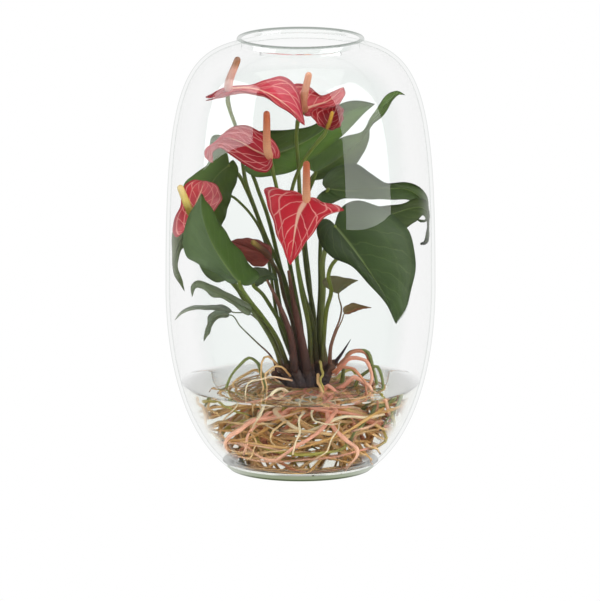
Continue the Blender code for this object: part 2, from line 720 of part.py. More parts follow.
def blade_mesh(name, shape, rows, across, arch):
    """Triangles of a blade's middle surface, the same way round everywhere."""
    joint, tip, left, ribs, right = blade_points(
        shape["left"], shape["midrib"], shape["right"], rows, across, arch
    )
    lobe_rows = int(np.sum(np.linspace(0, 1, rows)[1:-1] <= LOBE_SHARE))
    points = [joint, tip]
    grid = np.zeros((rows, 2 * across + 1), dtype=int)
    grid[-1, :] = 1
    for row in range(rows - 2):
        columns = [*left[:, row], ribs[row], *right[::-1, row]]
        for column, point in enumerate(columns):
            if column == across and row < lobe_rows:
                continue
            grid[row + 1, column] = len(points)
            points.append(point)
    faces = []
    for row in range(rows - 1):
        for column in range(2 * across):
            a, b = grid[row, column], grid[row, column + 1]
            c, d = grid[row + 1, column + 1], grid[row + 1, column]
            halves = ((a, b, c), (a, c, d)) if column < across else ((a, b, d), (b, c, d))
            faces += [face for face in halves if len(set(face)) == 3]
    return mesh_of(name, points, faces)


def make_blade(name, shape, rows, across, arch, thickness, look):
    piece = place(name, blade_mesh(name, shape, rows, across, arch), look)
    solid = piece.modifiers.new("Thickness", "SOLIDIFY")
    solid.thickness = thickness * MM
    solid.offset = 0.0
    return piece


def make_rod(name, route, radius, tip_share, step, look):
    """A tapering round stalk along a smooth route, from its base to its tip."""
    count = max(4, int(round(path_length(route) / step)) + 1)
    centre = mm(smooth_path(route, np.linspace(0.0, 1.0, count)))
    curve = bpy.data.curves.new(name, "CURVE")
    curve.dimensions = "3D"
    curve.bevel_depth = radius * MM
    curve.bevel_resolution = TUBE_ROUNDING
    curve.use_fill_caps = True
    spline = curve.splines.new("POLY")
    spline.points.add(count - 1)
    for index, point in enumerate(centre):
        spline.points[index].co = (*point, 1.0)
        spline.points[index].radius = 1.0 - (1.0 - tip_share) * index / (count - 1)
    piece = bpy.data.objects.new(name, curve)
    bpy.context.scene.collection.objects.link(piece)
    if look is not None:
        curve.materials.append(look)
    return piece


def fuse(name, shapes, look, solver="EXACT"):
    """One body from several overlapping shapes, by a single Boolean union."""
    group = bpy.data.collections.new(name + "_shapes")
    bpy.context.scene.collection.children.link(group)
    bpy.context.view_layer.update()
    graph = bpy.context.evaluated_depsgraph_get()
    meshes = []
    for shape in shapes:
        mesh = bpy.data.meshes.new_from_object(shape.evaluated_get(graph))
        mesh.transform(shape.matrix_world)
        work = bmesh.new()
        work.from_mesh(mesh)
        bmesh.ops.remove_doubles(work, verts=work.verts, dist=0.000002)
        work.to_mesh(mesh)
        work.free()
        meshes.append(mesh)
    for shape in shapes:
        bpy.data.objects.remove(shape)
    first = place(name, meshes[0], None)
    for index, mesh in enumerate(meshes[1:]):
        group.objects.link(bpy.data.objects.new(f"{name}_shape_{index}", mesh))
    union = first.modifiers.new("Union", "BOOLEAN")
    union.operation = "UNION"
    union.solver = solver
    union.operand_type = "COLLECTION"
    union.collection = group
    bpy.context.view_layer.update()
    joined = bpy.data.meshes.new_from_object(
        first.evaluated_get(bpy.context.evaluated_depsgraph_get())
    )
    bpy.data.objects.remove(first)
    for extra in list(group.objects):
        bpy.data.objects.remove(extra)
    bpy.data.collections.remove(group)
    joined.materials.clear()
    joined.name = name
    return place(name, joined, look)


def make_spadix(name, axis, thickness, look):
    """The flower spike: a tapering rod, round at its end, with rows of tiny flowers.

    Neighbouring points of each ring stand out and in by turns, like a checkerboard.
    """
    foot, end = (np.array(point, dtype=float) for point in axis)
    length = np.linalg.norm(end - foot)
    forward = (end - foot) / length
    side = np.cross(forward, (0.0, 1.0, 0.0))
    side /= np.linalg.norm(side)
    other = np.cross(forward, side)
    points, faces = [], []
    for ring in range(SPADIX_RINGS):
        share = ring / (SPADIX_RINGS - 1)
        radius = thickness * (1 - (1 - SPADIX_TIP_SHARE) * share)
        if ring == SPADIX_RINGS - 1:
            radius *= 0.6
        for spoke in range(SPADIX_SIDES):
            bump = SPADIX_BUMP if (ring + spoke) % 2 else -SPADIX_BUMP
            angle = 2 * math.pi * (spoke + 0.5 * (ring % 2)) / SPADIX_SIDES
            turn = math.cos(angle) * side + math.sin(angle) * other
            points.append(foot + share * length * forward + radius * (1 + bump) * turn)
    for ring in range(SPADIX_RINGS - 1):
        for spoke in range(SPADIX_SIDES):
            after = (spoke + 1) % SPADIX_SIDES
            low, high = ring * SPADIX_SIDES, (ring + 1) * SPADIX_SIDES
            faces.append((low + spoke, low + after, high + spoke))
            faces.append((low + after, high + after, high + spoke))
    last = (SPADIX_RINGS - 1) * SPADIX_SIDES
    faces.append(tuple(range(SPADIX_SIDES))[::-1])
    faces.append(tuple(range(last, last + SPADIX_SIDES)))
    mesh = mesh_of(name, points, faces)
    work = bmesh.new()
    work.from_mesh(mesh)
    bmesh.ops.recalc_face_normals(work, faces=work.faces)
    work.to_mesh(mesh)
    work.free()
    return place(name, mesh, look)


def make_stub(stalk_base):
    """The old stem base under one stalk, leaning in towards the crown's middle."""
    middle = np.array(CROWN_MIDDLE)
    top = np.array(stalk_base[:2], dtype=float)
    foot = middle + STUB_LEAN * (top - middle)
    rings = (
        (foot, CROWN_FOOT, CROWN_FOOT_RADIUS),
        (top, stalk_base[2] - STUB_DROP, STUB_RADIUS),
    )
    points = []
    for centre, height, radius in rings:
        for spoke in range(STUB_SIDES):
            angle = 2 * math.pi * spoke / STUB_SIDES
            x = centre[0] + radius * math.cos(angle)
            y = centre[1] + radius * math.sin(angle)
            points.append((x, y, height))
    faces = [tuple(range(STUB_SIDES))[::-1], tuple(range(STUB_SIDES, 2 * STUB_SIDES))]
    for spoke in range(STUB_SIDES):
        after = (spoke + 1) % STUB_SIDES
        faces.append((spoke, after, STUB_SIDES + after, STUB_SIDES + spoke))
    return place("stub", mesh_of("stub", points, faces), None)


def make_crown():
    """The short woody crown: the bases of all stalks, grown into one another."""
    routes = [shape["stalk"] for shape in (*LEAVES.values(), *YOUNG_LEAVES.values())]
    routes += [shape["stalk"] for shape in FLOWERS.values()]
    routes += [*SHEATHS.values(), BUD_SCALE]
    look = material("crown_bark", (0.16, 0.11, 0.11), 0.8)
    return fuse("crown", [make_stub(route[0]) for route in routes], look)


def ring_root(angle, radius, height, sweep, drift):
    """A root that leaves the core, runs out to its ring and follows it round."""
    def at(turn, share, z):
        here = math.radians(angle + turn)
        return (
            CROWN_MIDDLE[0] * (1 - share) + share * radius * math.cos(here),
            CROWN_MIDDLE[1] * (1 - share) + share * radius * math.sin(here),
            z,
        )

    start = 0.5 * (ROOT_CORE_TOP + ROOT_CORE_FOOT)
    route = []
    for turn, share, fall in ROOT_LEAD:
        route.append(at(turn, share, start + fall * (height - start)))
    for turn in np.arange(ROOT_LEAD_TURN, sweep + 1, ROOT_TURN_STEP):
        wave = drift * math.sin(math.radians(3 * turn))
        route.append(at(turn, 1.0 + 0.015 * wave, height + wave))
    return route


def make_roots():
    """The bare roots: a small dense core, arches over the water and rings below it."""
    core_profile = [
        (0.0, ROOT_CORE_TOP),
        (0.8 * ROOT_CORE_RADIUS, ROOT_CORE_TOP),
        (ROOT_CORE_RADIUS, 0.5 * (ROOT_CORE_TOP + ROOT_CORE_FOOT)),
        (0.6 * ROOT_CORE_RADIUS, ROOT_CORE_FOOT),
        (0.0, ROOT_CORE_FOOT),
    ]
    core = turned("core", core_profile, ROOT_CORE_SIDES, None)
    core.location = (CROWN_MIDDLE[0] * MM, CROWN_MIDDLE[1] * MM, 0.0)
    draw = np.random.default_rng(ROOT_SEED)
    routes = [list(route) for route in ARCHING_ROOTS]
    for height in RING_HEIGHTS:
        room = ROOT_ROOM_SHARE * inner_radius(height) - ROOT_RADIUS - 1.0
        for radius in RING_RADII:
            if radius > room:
                continue
            angle = GOLDEN_ANGLE * len(routes)
            sweep = draw.uniform(*ROOT_SWEEP)
            drift = draw.uniform(-ROOT_DRIFT, ROOT_DRIFT)
            routes.append(ring_root(angle, radius, height, sweep, drift))
    shapes = [core]
    for route in routes:
        step = path_length(route) / (ROOT_POINTS - 1)
        shapes.append(make_rod("root", route, ROOT_RADIUS, ROOT_TIP_SHARE, step, None))
    look = material("root_skin", (0.78, 0.62, 0.45), 0.6)
    return fuse("roots", shapes, look, solver="MANIFOLD")


def make_stalk(name, shape, look):
    radius = shape["stalk_radius"]
    return make_rod(name, shape["stalk"], radius, STALK_TIP_SHARE, STALK_STEP, look)


def make_leaves(green, stalk_green):
    for name, shape in LEAVES.items():
        cut = (LEAF_ROWS, ACROSS, LEAF_ARCH, LEAF_THICKNESS)
        make_blade(f"leaf_{name}_blade", shape, *cut, green)
        make_stalk(f"leaf_{name}_stalk", shape, stalk_green)


def make_young_leaves(green):
    """Small leaves, each blade grown together with its thin stalk."""
    for name, shape in YOUNG_LEAVES.items():
        cut = (YOUNG_ROWS, YOUNG_ACROSS, LEAF_ARCH, LEAF_THICKNESS)
        blade = make_blade("blade", shape, *cut, None)
        run = [*shape["stalk"], shape["midrib"][1]]
        radius = shape["stalk_radius"]
        stalk = make_rod("stalk", run, radius, YOUNG_STALK_TIP_SHARE, STALK_STEP, None)
        fuse(f"young_leaf_{name}", [blade, stalk], green)


def make_flowers(reds, spike_look, stalk_green):
    for name, shape in FLOWERS.items():
        cut = (SPATHE_ROWS, ACROSS, SPATHE_ARCH, SPATHE_THICKNESS)
        make_blade(f"flower_{name}_spathe", shape, *cut, reds.get(name, reds["fresh"]))
        spike_radius = SPADIX_RADIUS.get(name, SPADIX_RADIUS["grown"])
        make_spadix(f"flower_{name}_spadix", shape["spadix"], spike_radius, spike_look)
        make_stalk(f"flower_{name}_stalk", shape, stalk_green)


def main():
    for old in list(bpy.data.objects):
        bpy.data.objects.remove(old)
    make_vase()
    make_water()
    make_crown()
    make_roots()
    leaf_green = material("leaf_green", (0.05, 0.12, 0.04), 0.35)
    stalk_green = material("stalk_green", (0.25, 0.35, 0.06), 0.45)
    make_leaves(leaf_green, stalk_green)
    make_young_leaves(material("young_leaf_green", (0.16, 0.24, 0.10), 0.45))
    reds = {
        "fresh": material("spathe_red", (0.60, 0.03, 0.07), 0.35),
        "old": material("spathe_faded_red", (0.22, 0.05, 0.03), 0.5),
    }
    make_flowers(reds, material("spadix_orange", (0.80, 0.42, 0.18), 0.6), stalk_green)
    sheath_look = material("sheath_brown", (0.22, 0.08, 0.05), 0.5)
    for name, route in SHEATHS.items():
        make_rod(name, route, SHEATH_RADIUS, SHEATH_TIP_SHARE, STALK_STEP, sheath_look)
    make_rod(
        "bud_scale", BUD_SCALE, BUD_SCALE_RADIUS, BUD_SCALE_TIP_SHARE, BUD_SCALE_STEP, sheath_look
    )


main()
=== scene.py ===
"""A potted anthurium in a clear closed-in vase: the looks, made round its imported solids.

Every shape is a function of two parameters, worked out with numpy in metres. The control
points below are in millimetres and are the ones that the solids were made from.
"""

import math

import bpy
import numpy as np
from bpy.props import FloatProperty, FloatVectorProperty, IntProperty, PointerProperty
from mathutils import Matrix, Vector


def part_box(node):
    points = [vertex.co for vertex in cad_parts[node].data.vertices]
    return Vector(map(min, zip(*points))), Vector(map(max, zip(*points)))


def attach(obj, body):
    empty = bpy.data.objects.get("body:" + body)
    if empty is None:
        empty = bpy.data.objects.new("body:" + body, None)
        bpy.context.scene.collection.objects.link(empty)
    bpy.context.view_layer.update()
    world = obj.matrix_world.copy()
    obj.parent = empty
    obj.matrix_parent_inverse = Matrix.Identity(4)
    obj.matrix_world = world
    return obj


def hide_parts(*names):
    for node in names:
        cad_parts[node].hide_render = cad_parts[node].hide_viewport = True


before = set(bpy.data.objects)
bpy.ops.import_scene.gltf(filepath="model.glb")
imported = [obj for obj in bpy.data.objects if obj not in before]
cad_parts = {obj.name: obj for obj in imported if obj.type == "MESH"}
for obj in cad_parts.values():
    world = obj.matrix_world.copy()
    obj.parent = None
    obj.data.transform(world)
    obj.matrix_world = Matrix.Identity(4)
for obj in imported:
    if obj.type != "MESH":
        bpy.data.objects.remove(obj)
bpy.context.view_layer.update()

bl_info = {
    "name": "Potted anthurium",
    "version": (1, 0, 0),
    "blender": (4, 5, 0),
    "location": "View3D > Sidebar > Anthurium",
    "description": "Builds an anthurium growing in water in a clear glass vase",
    "category": "Add Mesh",
}

MM = 0.001

# The vase and the water in it, as (radius, height) in millimetres.
WIDEST = (92.5, 130.6)
FOOT_RADIUS = 46.0
FOOT_EDGE = (49.6, 1.0)
LOWER_PULLS = ((95.6, 34.3), (92.5, 126.3))
UPPER_PULLS = ((92.5, 256.9), (81.9, 287.8))
NECK = (45.0, 294.5)
LIP = (40.4, 43.6)
VASE_HEIGHT = 300.0
FLOOR_THICKNESS = 4.0
WATER_GAP = 0.15
FOOT_CORNER = 1.6
CAP_RINGS = 3

# How clear glass and water look: 0 is seen face on and 1 edge on, heights in metres.
GLASS_IOR = 1.45
WATER_IOR = 1.333
GLASS_DENSITY = 3.0
WATER_DENSITY = 4.0
GLASS_EDGE_ON = (0.26, 0.46)
WATER_EDGE_ON = (0.45, 0.75)
# Painted shade: over this span the glass's tint turns grey towards its outline.
SHADED_OUTLINE_ON = (0.84, 0.99)
# Painted reflection: a white glow on the glass near its outline, over this span, at this share and
# brightness.
PAINTED_REFLECTION_ON = (0.5, 0.9)
PAINTED_REFLECTION = 0.4
PAINTED_REFLECTION_GLOW = 0.92
LEVEL_SURFACE = 0.8
# Painted shade lines: the glass is tinted grey above the first height at the lip and below the second round
# the foot.
LIP_LINE = 0.2985
FOOT_LINE = 0.0016
THROUGH_GLASS = 1.03
WHITE = (1.0, 1.0, 1.0, 1.0)

# The blades, the stalks and the flower spikes.
LOBE_SHARE = 0.28
LEAF_ARCH = 0.10
SPATHE_ARCH = 0.12
SPADIX_RADIUS = {"young": 1.5, "old": 2.3}
GROWN_SPADIX_RADIUS = 2.9
SHEATH_RADIUS = 3.6

# The crown and the roots.
CROWN_MIDDLE = (7.0, -2.0)
CROWN_FOOT = 56.5
TANGLE_ROOTS = 105
ROOT_SEED = 7

# Control points, (x, y, z). A blade's outline runs from the stalk's joint round each
# basal lobe to the tip, its midrib from joint to tip, and a stalk from crown to joint.
LEAVES = {
    "right_front": {
        "left": (
            (17.5, -23.5, 178.5), (11.5, -27.5, 174), (12.5, -33, 164.5), (21, -36.5, 154),
            (34, -36.5, 148), (46.5, -40.5, 135.5), (57.5, -44.5, 123.5),
        ),
        "midrib": (
            (23.5, -25, 173), (34, -29.5, 160.5), (45, -35, 146), (57.5, -42.5, 127.5),
            (64.5, -50, 110),
        ),
        "right": (
            (26, -20.5, 181), (32, -16.5, 187.5), (39.5, -14, 189.5), (50.5, -14, 185.5),
            (63, -15, 180), (72.5, -18.5, 170.5), (78, -24.5, 156.5), (76.5, -36, 134.5),
            (71, -44.5, 118.5),
        ),
        "stalk": (
            (15, -8, 72.5), (16, -11, 94.5), (18, -16, 114.5), (21, -19, 127.5), (19, -22, 138),
            (21, -24, 145.5), (26, -24, 152.5), (26.5, -22, 163.5), (25, -22.5, 170),
        ),
        "stalk_radius": 1.7,
    },
    "right_arching": {
        "left": (
            (15, 15.5, 196.5), (20.5, 20, 204), (28.5, 22, 207.5), (38, 22.5, 208),
            (48.5, 18, 202), (61, 13.5, 195.5), (70.5, 14.5, 197), (81, 12, 194),
            (87, 7.5, 187.5), (87.5, 1.5, 178.5), (87.5, -5, 168.5), (87.5, -9.5, 161.5),
        ),
        "midrib": (
            (19, 12, 192), (30.5, 11, 190.5), (46.5, 11.5, 192), (61, 11.5, 192.5),
            (72.5, 11, 192), (81.5, 8, 187.5), (87.5, 3, 180), (87.5, -3.5, 171),
            (87.5, -8.5, 163.5), (82, 14, 152.5),
        ),
        "right": (
            (12.5, 10.5, 189), (10.5, 7, 184.5), (19, 6, 183), (30, 8, 186), (46.5, 7.5, 186),
            (61.5, 7, 185.5), (74, 7, 186), (81, 4, 182), (85.5, 0, 176), (87.5, -5, 168.5),
            (85.5, -8.5, 163),
        ),
        "stalk": (
            (14, 5.5, 72.5), (12.5, 7.5, 94.5), (13.5, 9, 122.5), (13.5, 10, 150),
            (15, 11.5, 174.5), (17.5, 13, 189),
        ),
        "stalk_radius": 1.7,
    },
    "right_back": {
        "left": (
            (29, -3, 179), (32, -0.5, 184.5), (39.5, 0, 186.5), (49, -1.5, 183),
            (61.5, -2, 183.5), (71, -1.5, 185), (79.5, -0.5, 188), (86.5, -1.5, 186.5),
            (87, -3.5, 181.5), (87.5, -6.5, 175),
        ),
        "midrib": (
            (35.5, -5, 175.5), (49, -5, 176), (63, -4.5, 178), (75.5, -3.5, 181.5),
            (83, -3.5, 182), (87, -5, 179), (87, -7.5, 174), (79, -10, 175),
        ),
        "right": (
            (29, -6.5, 171.5), (34, -11, 162.5), (46.5, -13.5, 159), (61.5, -12, 162.5),
            (72.5, -9.5, 168.5), (79, -7, 173.5), (83.5, -5.5, 177.5), (85.5, -7, 175),
            (83.5, -8, 172.5),
        ),
        "stalk": (
            (17, -2, 72.5), (14, -2, 96.5), (15.5, -3, 124.5), (16, -4, 149.5), (22.5, -4, 164),
            (33.5, -3.5, 172),
        ),
        "stalk_radius": 2.2,
    },
    "top_centre": {
        "left": (
            (-33.5, 13.5, 217.5), (-37.5, 15, 225), (-32, 18, 230), (-21, 20.5, 231.5),
            (-7, 23.5, 231.5), (3, 26, 232.5), (13.5, 29.5, 236.5), (26, 35.5, 247),
            (34, 38, 249), (44.5, 40, 248.5),
        ),
        "midrib": (
            (-26.5, 14, 214), (-12.5, 18, 217), (-0.5, 22, 221.5), (12, 26.5, 228),
            (27, 33, 239), (39.5, 37.5, 244.5), (51.5, 40.5, 246.5),
        ),
        "right": (
            (-34.5, 11.5, 212), (-39, 9.5, 207), (-32.5, 9, 202), (-22.5, 11, 201),
            (-10.5, 14, 202.5), (3, 18.5, 208), (17, 24.5, 217.5), (28.5, 29.5, 225.5),
            (35.5, 33, 232.5), (41, 35.5, 237.5), (46.5, 38.5, 242.5),
        ),
        "stalk": (
            (-1, 10, 72.5), (-7, 14, 107.5), (-15, 15, 142), (-23.5, 14, 176),
            (-30.5, 14, 195.5), (-33.5, 16, 206.5), (-27, 16, 212.5),
        ),
        "stalk_radius": 1.7,
    },
    "top_right": {
        "left": (
            (5, 35, 204), (3, 36, 211), (9.5, 35.5, 216), (18, 35, 219.5), (28.5, 34, 224),
            (43, 33, 229.5), (48.5, 33, 237.5), (54.5, 33.5, 248), (61, 33.5, 255),
            (67, 33, 257),
        ),
        "midrib": (
            (10.5, 34, 200), (21.5, 33.5, 206.5), (34, 32.5, 216), (43.5, 32.5, 224.5),
            (49, 32.5, 233.5), (56, 32.5, 242.5), (62.5, 33, 251), (68, 32.5, 255),
            (72, 32, 254),
        ),
        "right": (
            (6, 34, 194.5), (12, 33.5, 194.5), (20.5, 32.5, 197.5), (28.5, 31.5, 199),
            (35.5, 31, 203), (41, 31.5, 210), (45, 31.5, 216), (47, 32, 223), (48.5, 32.5, 232),
            (56, 32.5, 238.5), (60, 32.5, 244), (63.5, 32.5, 250), (68, 32.5, 254.5),
        ),
        "stalk": (
            (8, 9, 72.5), (8, 13, 100.5), (6, 18, 127.5), (3, 24, 154.5), (2.5, 30, 178),
            (6, 34.5, 187.5), (8, 34.5, 193),
        ),
        "stalk_radius": 1.7,
    },
    "upper_left": {
        "left": (
            (-52, 7.5, 220.5), (-54.5, 8, 230.5), (-59.5, 7.5, 230.5), (-62.5, 6.5, 221),
            (-63.5, 5.5, 211.5), (-72, 3.5, 204.5), (-79, 2, 199), (-81, 1, 187),
            (-75.5, 0.5, 175.5), (-64.5, 1.5, 168),
        ),
        "midrib": (
            (-49, 7, 209.5), (-54.5, 6.5, 205.5), (-61, 5, 197.5), (-63.5, 4, 186.5),
            (-61, 3, 174), (-55.5, 2, 165),
        ),
        "right": (
            (-46.5, 7.5, 213.5), (-43, 6.5, 208), (-43, 6, 201.5), (-46, 5, 193), (-49, 4, 183),
            (-52, 3, 173),
        ),
        "stalk": (
            (-4, 4, 72.5), (-12.5, 6, 103), (-19.5, 8, 142), (-29, 9, 172.5), (-37, 9.5, 192),
            (-42.5, 9.5, 202.5), (-48, 9.5, 207.5),
        ),
        "stalk_radius": 1.7,
    },
    "front_left": {
        "left": (
            (-47, -43, 137), (-55.5, -39, 141.5), (-63.5, -35, 146), (-72, -30.5, 149),
            (-77.5, -28, 152), (-80, -27.5, 158.5), (-79.5, -29, 170.5), (-75.5, -33, 183.5),
            (-70.5, -36.5, 192),
        ),
        "midrib": (
            (-41.5, -46, 138.5), (-45, -45, 142.5), (-52, -42.5, 152), (-59, -40.5, 163.5),
            (-64.5, -39, 177), (-67, -38.5, 189.5), (-67, -39.5, 199),
        ),
        "right": (
            (-37, -47.5, 136.5), (-30.5, -49.5, 138.5), (-28, -51, 143), (-33.5, -49, 150.5),
            (-41.5, -46.5, 161), (-48.5, -44.5, 169.5), (-55.5, -42.5, 180.5),
            (-61.5, -41, 190.5),
        ),
        "stalk": (
            (-8.5, -12, 72.5), (-16, -20, 94), (-26.5, -32, 112.5), (-35.5, -42, 126.5),
            (-41, -44.5, 136),
        ),
        "stalk_radius": 1.7,
    },
    "low_left": {
        "left": (
            (-53.5, -12, 132), (-60, -11, 132.5), (-66.5, -9.5, 138), (-70, -9, 145.5),
            (-71, -8.5, 153.5),
        ),
        "midrib": (
            (-49, -13, 135.5), (-55.5, -12, 144), (-62.5, -10.5, 152.5), (-70, -9, 162),
        ),
        "right": (
            (-43.5, -14, 140.5), (-46, -13.5, 150.5), (-52.5, -12.5, 158), (-61.5, -10.5, 162),
        ),
        "stalk": (
            (-9, -2.5, 72.5), (-19.5, -6, 93.5), (-31.5, -9, 110.5), (-41, -11.5, 124),
            (-48, -12, 133.5),
        ),
        "stalk_radius": 1.7,
    },
    "low_centre": {
        "left": (
            (-37, -23.5, 137), (-34.5, -22.5, 142.5), (-27, -21, 144), (-21, -21, 141.5),
        ),
        "midrib": (
            (-32.5, -24, 133.5), (-27, -22.5, 137.5), (-21, -21.5, 138.5), (-15, -22, 135),
        ),
        "right": (
            (-29, -24, 131.5), (-24.5, -23, 134), (-19.5, -22.5, 135.5),
        ),
        "stalk": (
            (-4, -6, 72.5), (-10.5, -11, 96.5), (-20.5, -17, 116), (-27, -21, 126.5),
            (-31.5, -22.5, 131),
        ),
        "stalk_radius": 1.7,
    },
    "far_left": {
        "left": (
            (-65.5, 17, 190), (-76, 13, 186), (-84.5, 8, 175), (-88, 3.5, 162), (-88, 0, 148.5),
            (-87.5, -1.5, 138.5), (-83.5, -2, 129.5),
        ),
        "midrib": (
            (-59.5, 18, 185.5), (-65.5, 14.5, 179.5), (-74.5, 9, 168), (-83, 4, 156),
            (-86.5, 0, 143.5), (-83.5, -1.5, 132.5), (-79.5, -2, 123.5),
        ),
        "right": (
            (-59.5, 16, 176.5), (-65.5, 11, 164), (-76, 6, 156), (-82, 3, 150),
            (-84.5, 0.5, 143.5), (-82, -1, 133.5),
        ),
        "stalk": (
            (-5, 9, 72.5), (-15, 13, 99), (-21, 18, 134.5), (-26.5, 20, 160), (-33.5, 21, 172),
            (-40, 21, 179.5), (-48.5, 21, 186), (-58, 20, 185.5),
        ),
        "stalk_radius": 1.2,
    },
}
YOUNG_LEAVES = {
    "narrow_left": {
        "left": (
            (-34.5, -28, 119), (-39.5, -26, 122), (-48.5, -25, 126.5), (-59, -24, 131.5),
            (-67, -23, 134.5), (-71, -24, 135), (-74.5, -25, 132.5),
        ),
        "midrib": (
            (-33.5, -34, 116), (-39.5, -33.5, 119), (-48.5, -32.5, 124.5), (-59, -31.5, 129.5),
            (-66.5, -30.5, 133.5), (-71, -30, 133.5), (-74, -28, 124.5),
        ),
        "right": (
            (-35.5, -40, 114), (-41.5, -39, 117.5), (-47, -38, 122), (-54, -37, 125.5),
            (-60, -35, 126), (-65.5, -33, 130.5), (-70.5, -31, 131.5),
        ),
        "stalk": (
            (-13, -14, 71), (-17.5, -22, 87.5), (-26.5, -30, 105.5), (-33, -34, 115.5),
        ),
        "stalk_radius": 1.4,
    },
    "thread_left": {
        "left": (
            (-49, -10, 113.5), (-52.5, -8, 115), (-64.5, -8, 114.5), (-76, -9, 114),
            (-82, -11, 110.5),
        ),
        "midrib": (
            (-47, -14, 111.5), (-52.5, -14, 113.5), (-64.5, -14, 114), (-76, -14, 113.5),
            (-82, -14, 110.5), (-86, -13, 105.5),
        ),
        "right": (
            (-50, -18, 111), (-53.5, -19, 112.5), (-64.5, -17, 113.5), (-75.5, -15, 112.5),
            (-81, -14, 110),
        ),
        "stalk": (
            (-11, 3, 71), (-21, 1, 90), (-29, -3, 103.5), (-34.5, -6, 108.5), (-47, -14, 111.5),
        ),
        "stalk_radius": 1.0,
    },
    "curled_left": {
        "left": (
            (-51.5, -34, 116), (-57.5, -35, 116.5), (-62.5, -34, 113), (-63.5, -33, 106.5),
            (-65.5, -31, 100),
        ),
        "midrib": (
            (-48.5, -30, 112.5), (-54, -30, 113), (-60, -30, 110), (-62.5, -30, 104.5),
            (-66, -29, 94),
        ),
        "right": (
            (-51.5, -26, 110), (-57, -24, 109), (-60, -25, 105), (-61.5, -27, 100),
        ),
        "stalk": (
            (-16, -8, 66), (-19.5, -16, 80), (-30.5, -22, 92.5), (-41, -27, 104),
            (-48, -30, 112.5),
        ),
        "stalk_radius": 0.9,
    },
    "small_right": {
        "left": (
            (20.5, -14, 126.5), (15, -13.5, 133), (19, -12.5, 136), (30, -11.5, 135),
        ),
        "midrib": (
            (26, -14, 124.5), (29, -12.5, 129.5), (39.5, -11, 133),
        ),
        "right": (
            (29, -13, 126.5), (34, -12, 130),
        ),
        "stalk": (
            (19.5, -7, 71), (20.5, -11, 87.5), (23, -12, 96), (27, -13, 107), (28, -14, 114),
            (26, -14, 123),
        ),
        "stalk_radius": 1.1,
    },
    "brown_right": {
        "left": (
            (29, -21.5, 115.5), (31.5, -21, 117.5), (35.5, -20, 119), (41.5, -19.5, 117.5),
        ),
        "midrib": (
            (30, -22, 112), (35.5, -21, 114.5), (41.5, -20, 116), (48.5, -19.5, 115.5),
        ),
        "right": (
            (32, -22, 111.5), (36, -21, 112.5), (41.5, -20.5, 114.5),
        ),
        "stalk": (
            (21, -12, 71), (21.5, -17, 88.5), (25, -19, 99.5), (28.5, -21, 107.5),
            (30, -22, 112),
        ),
        "stalk_radius": 0.9,
    },
}
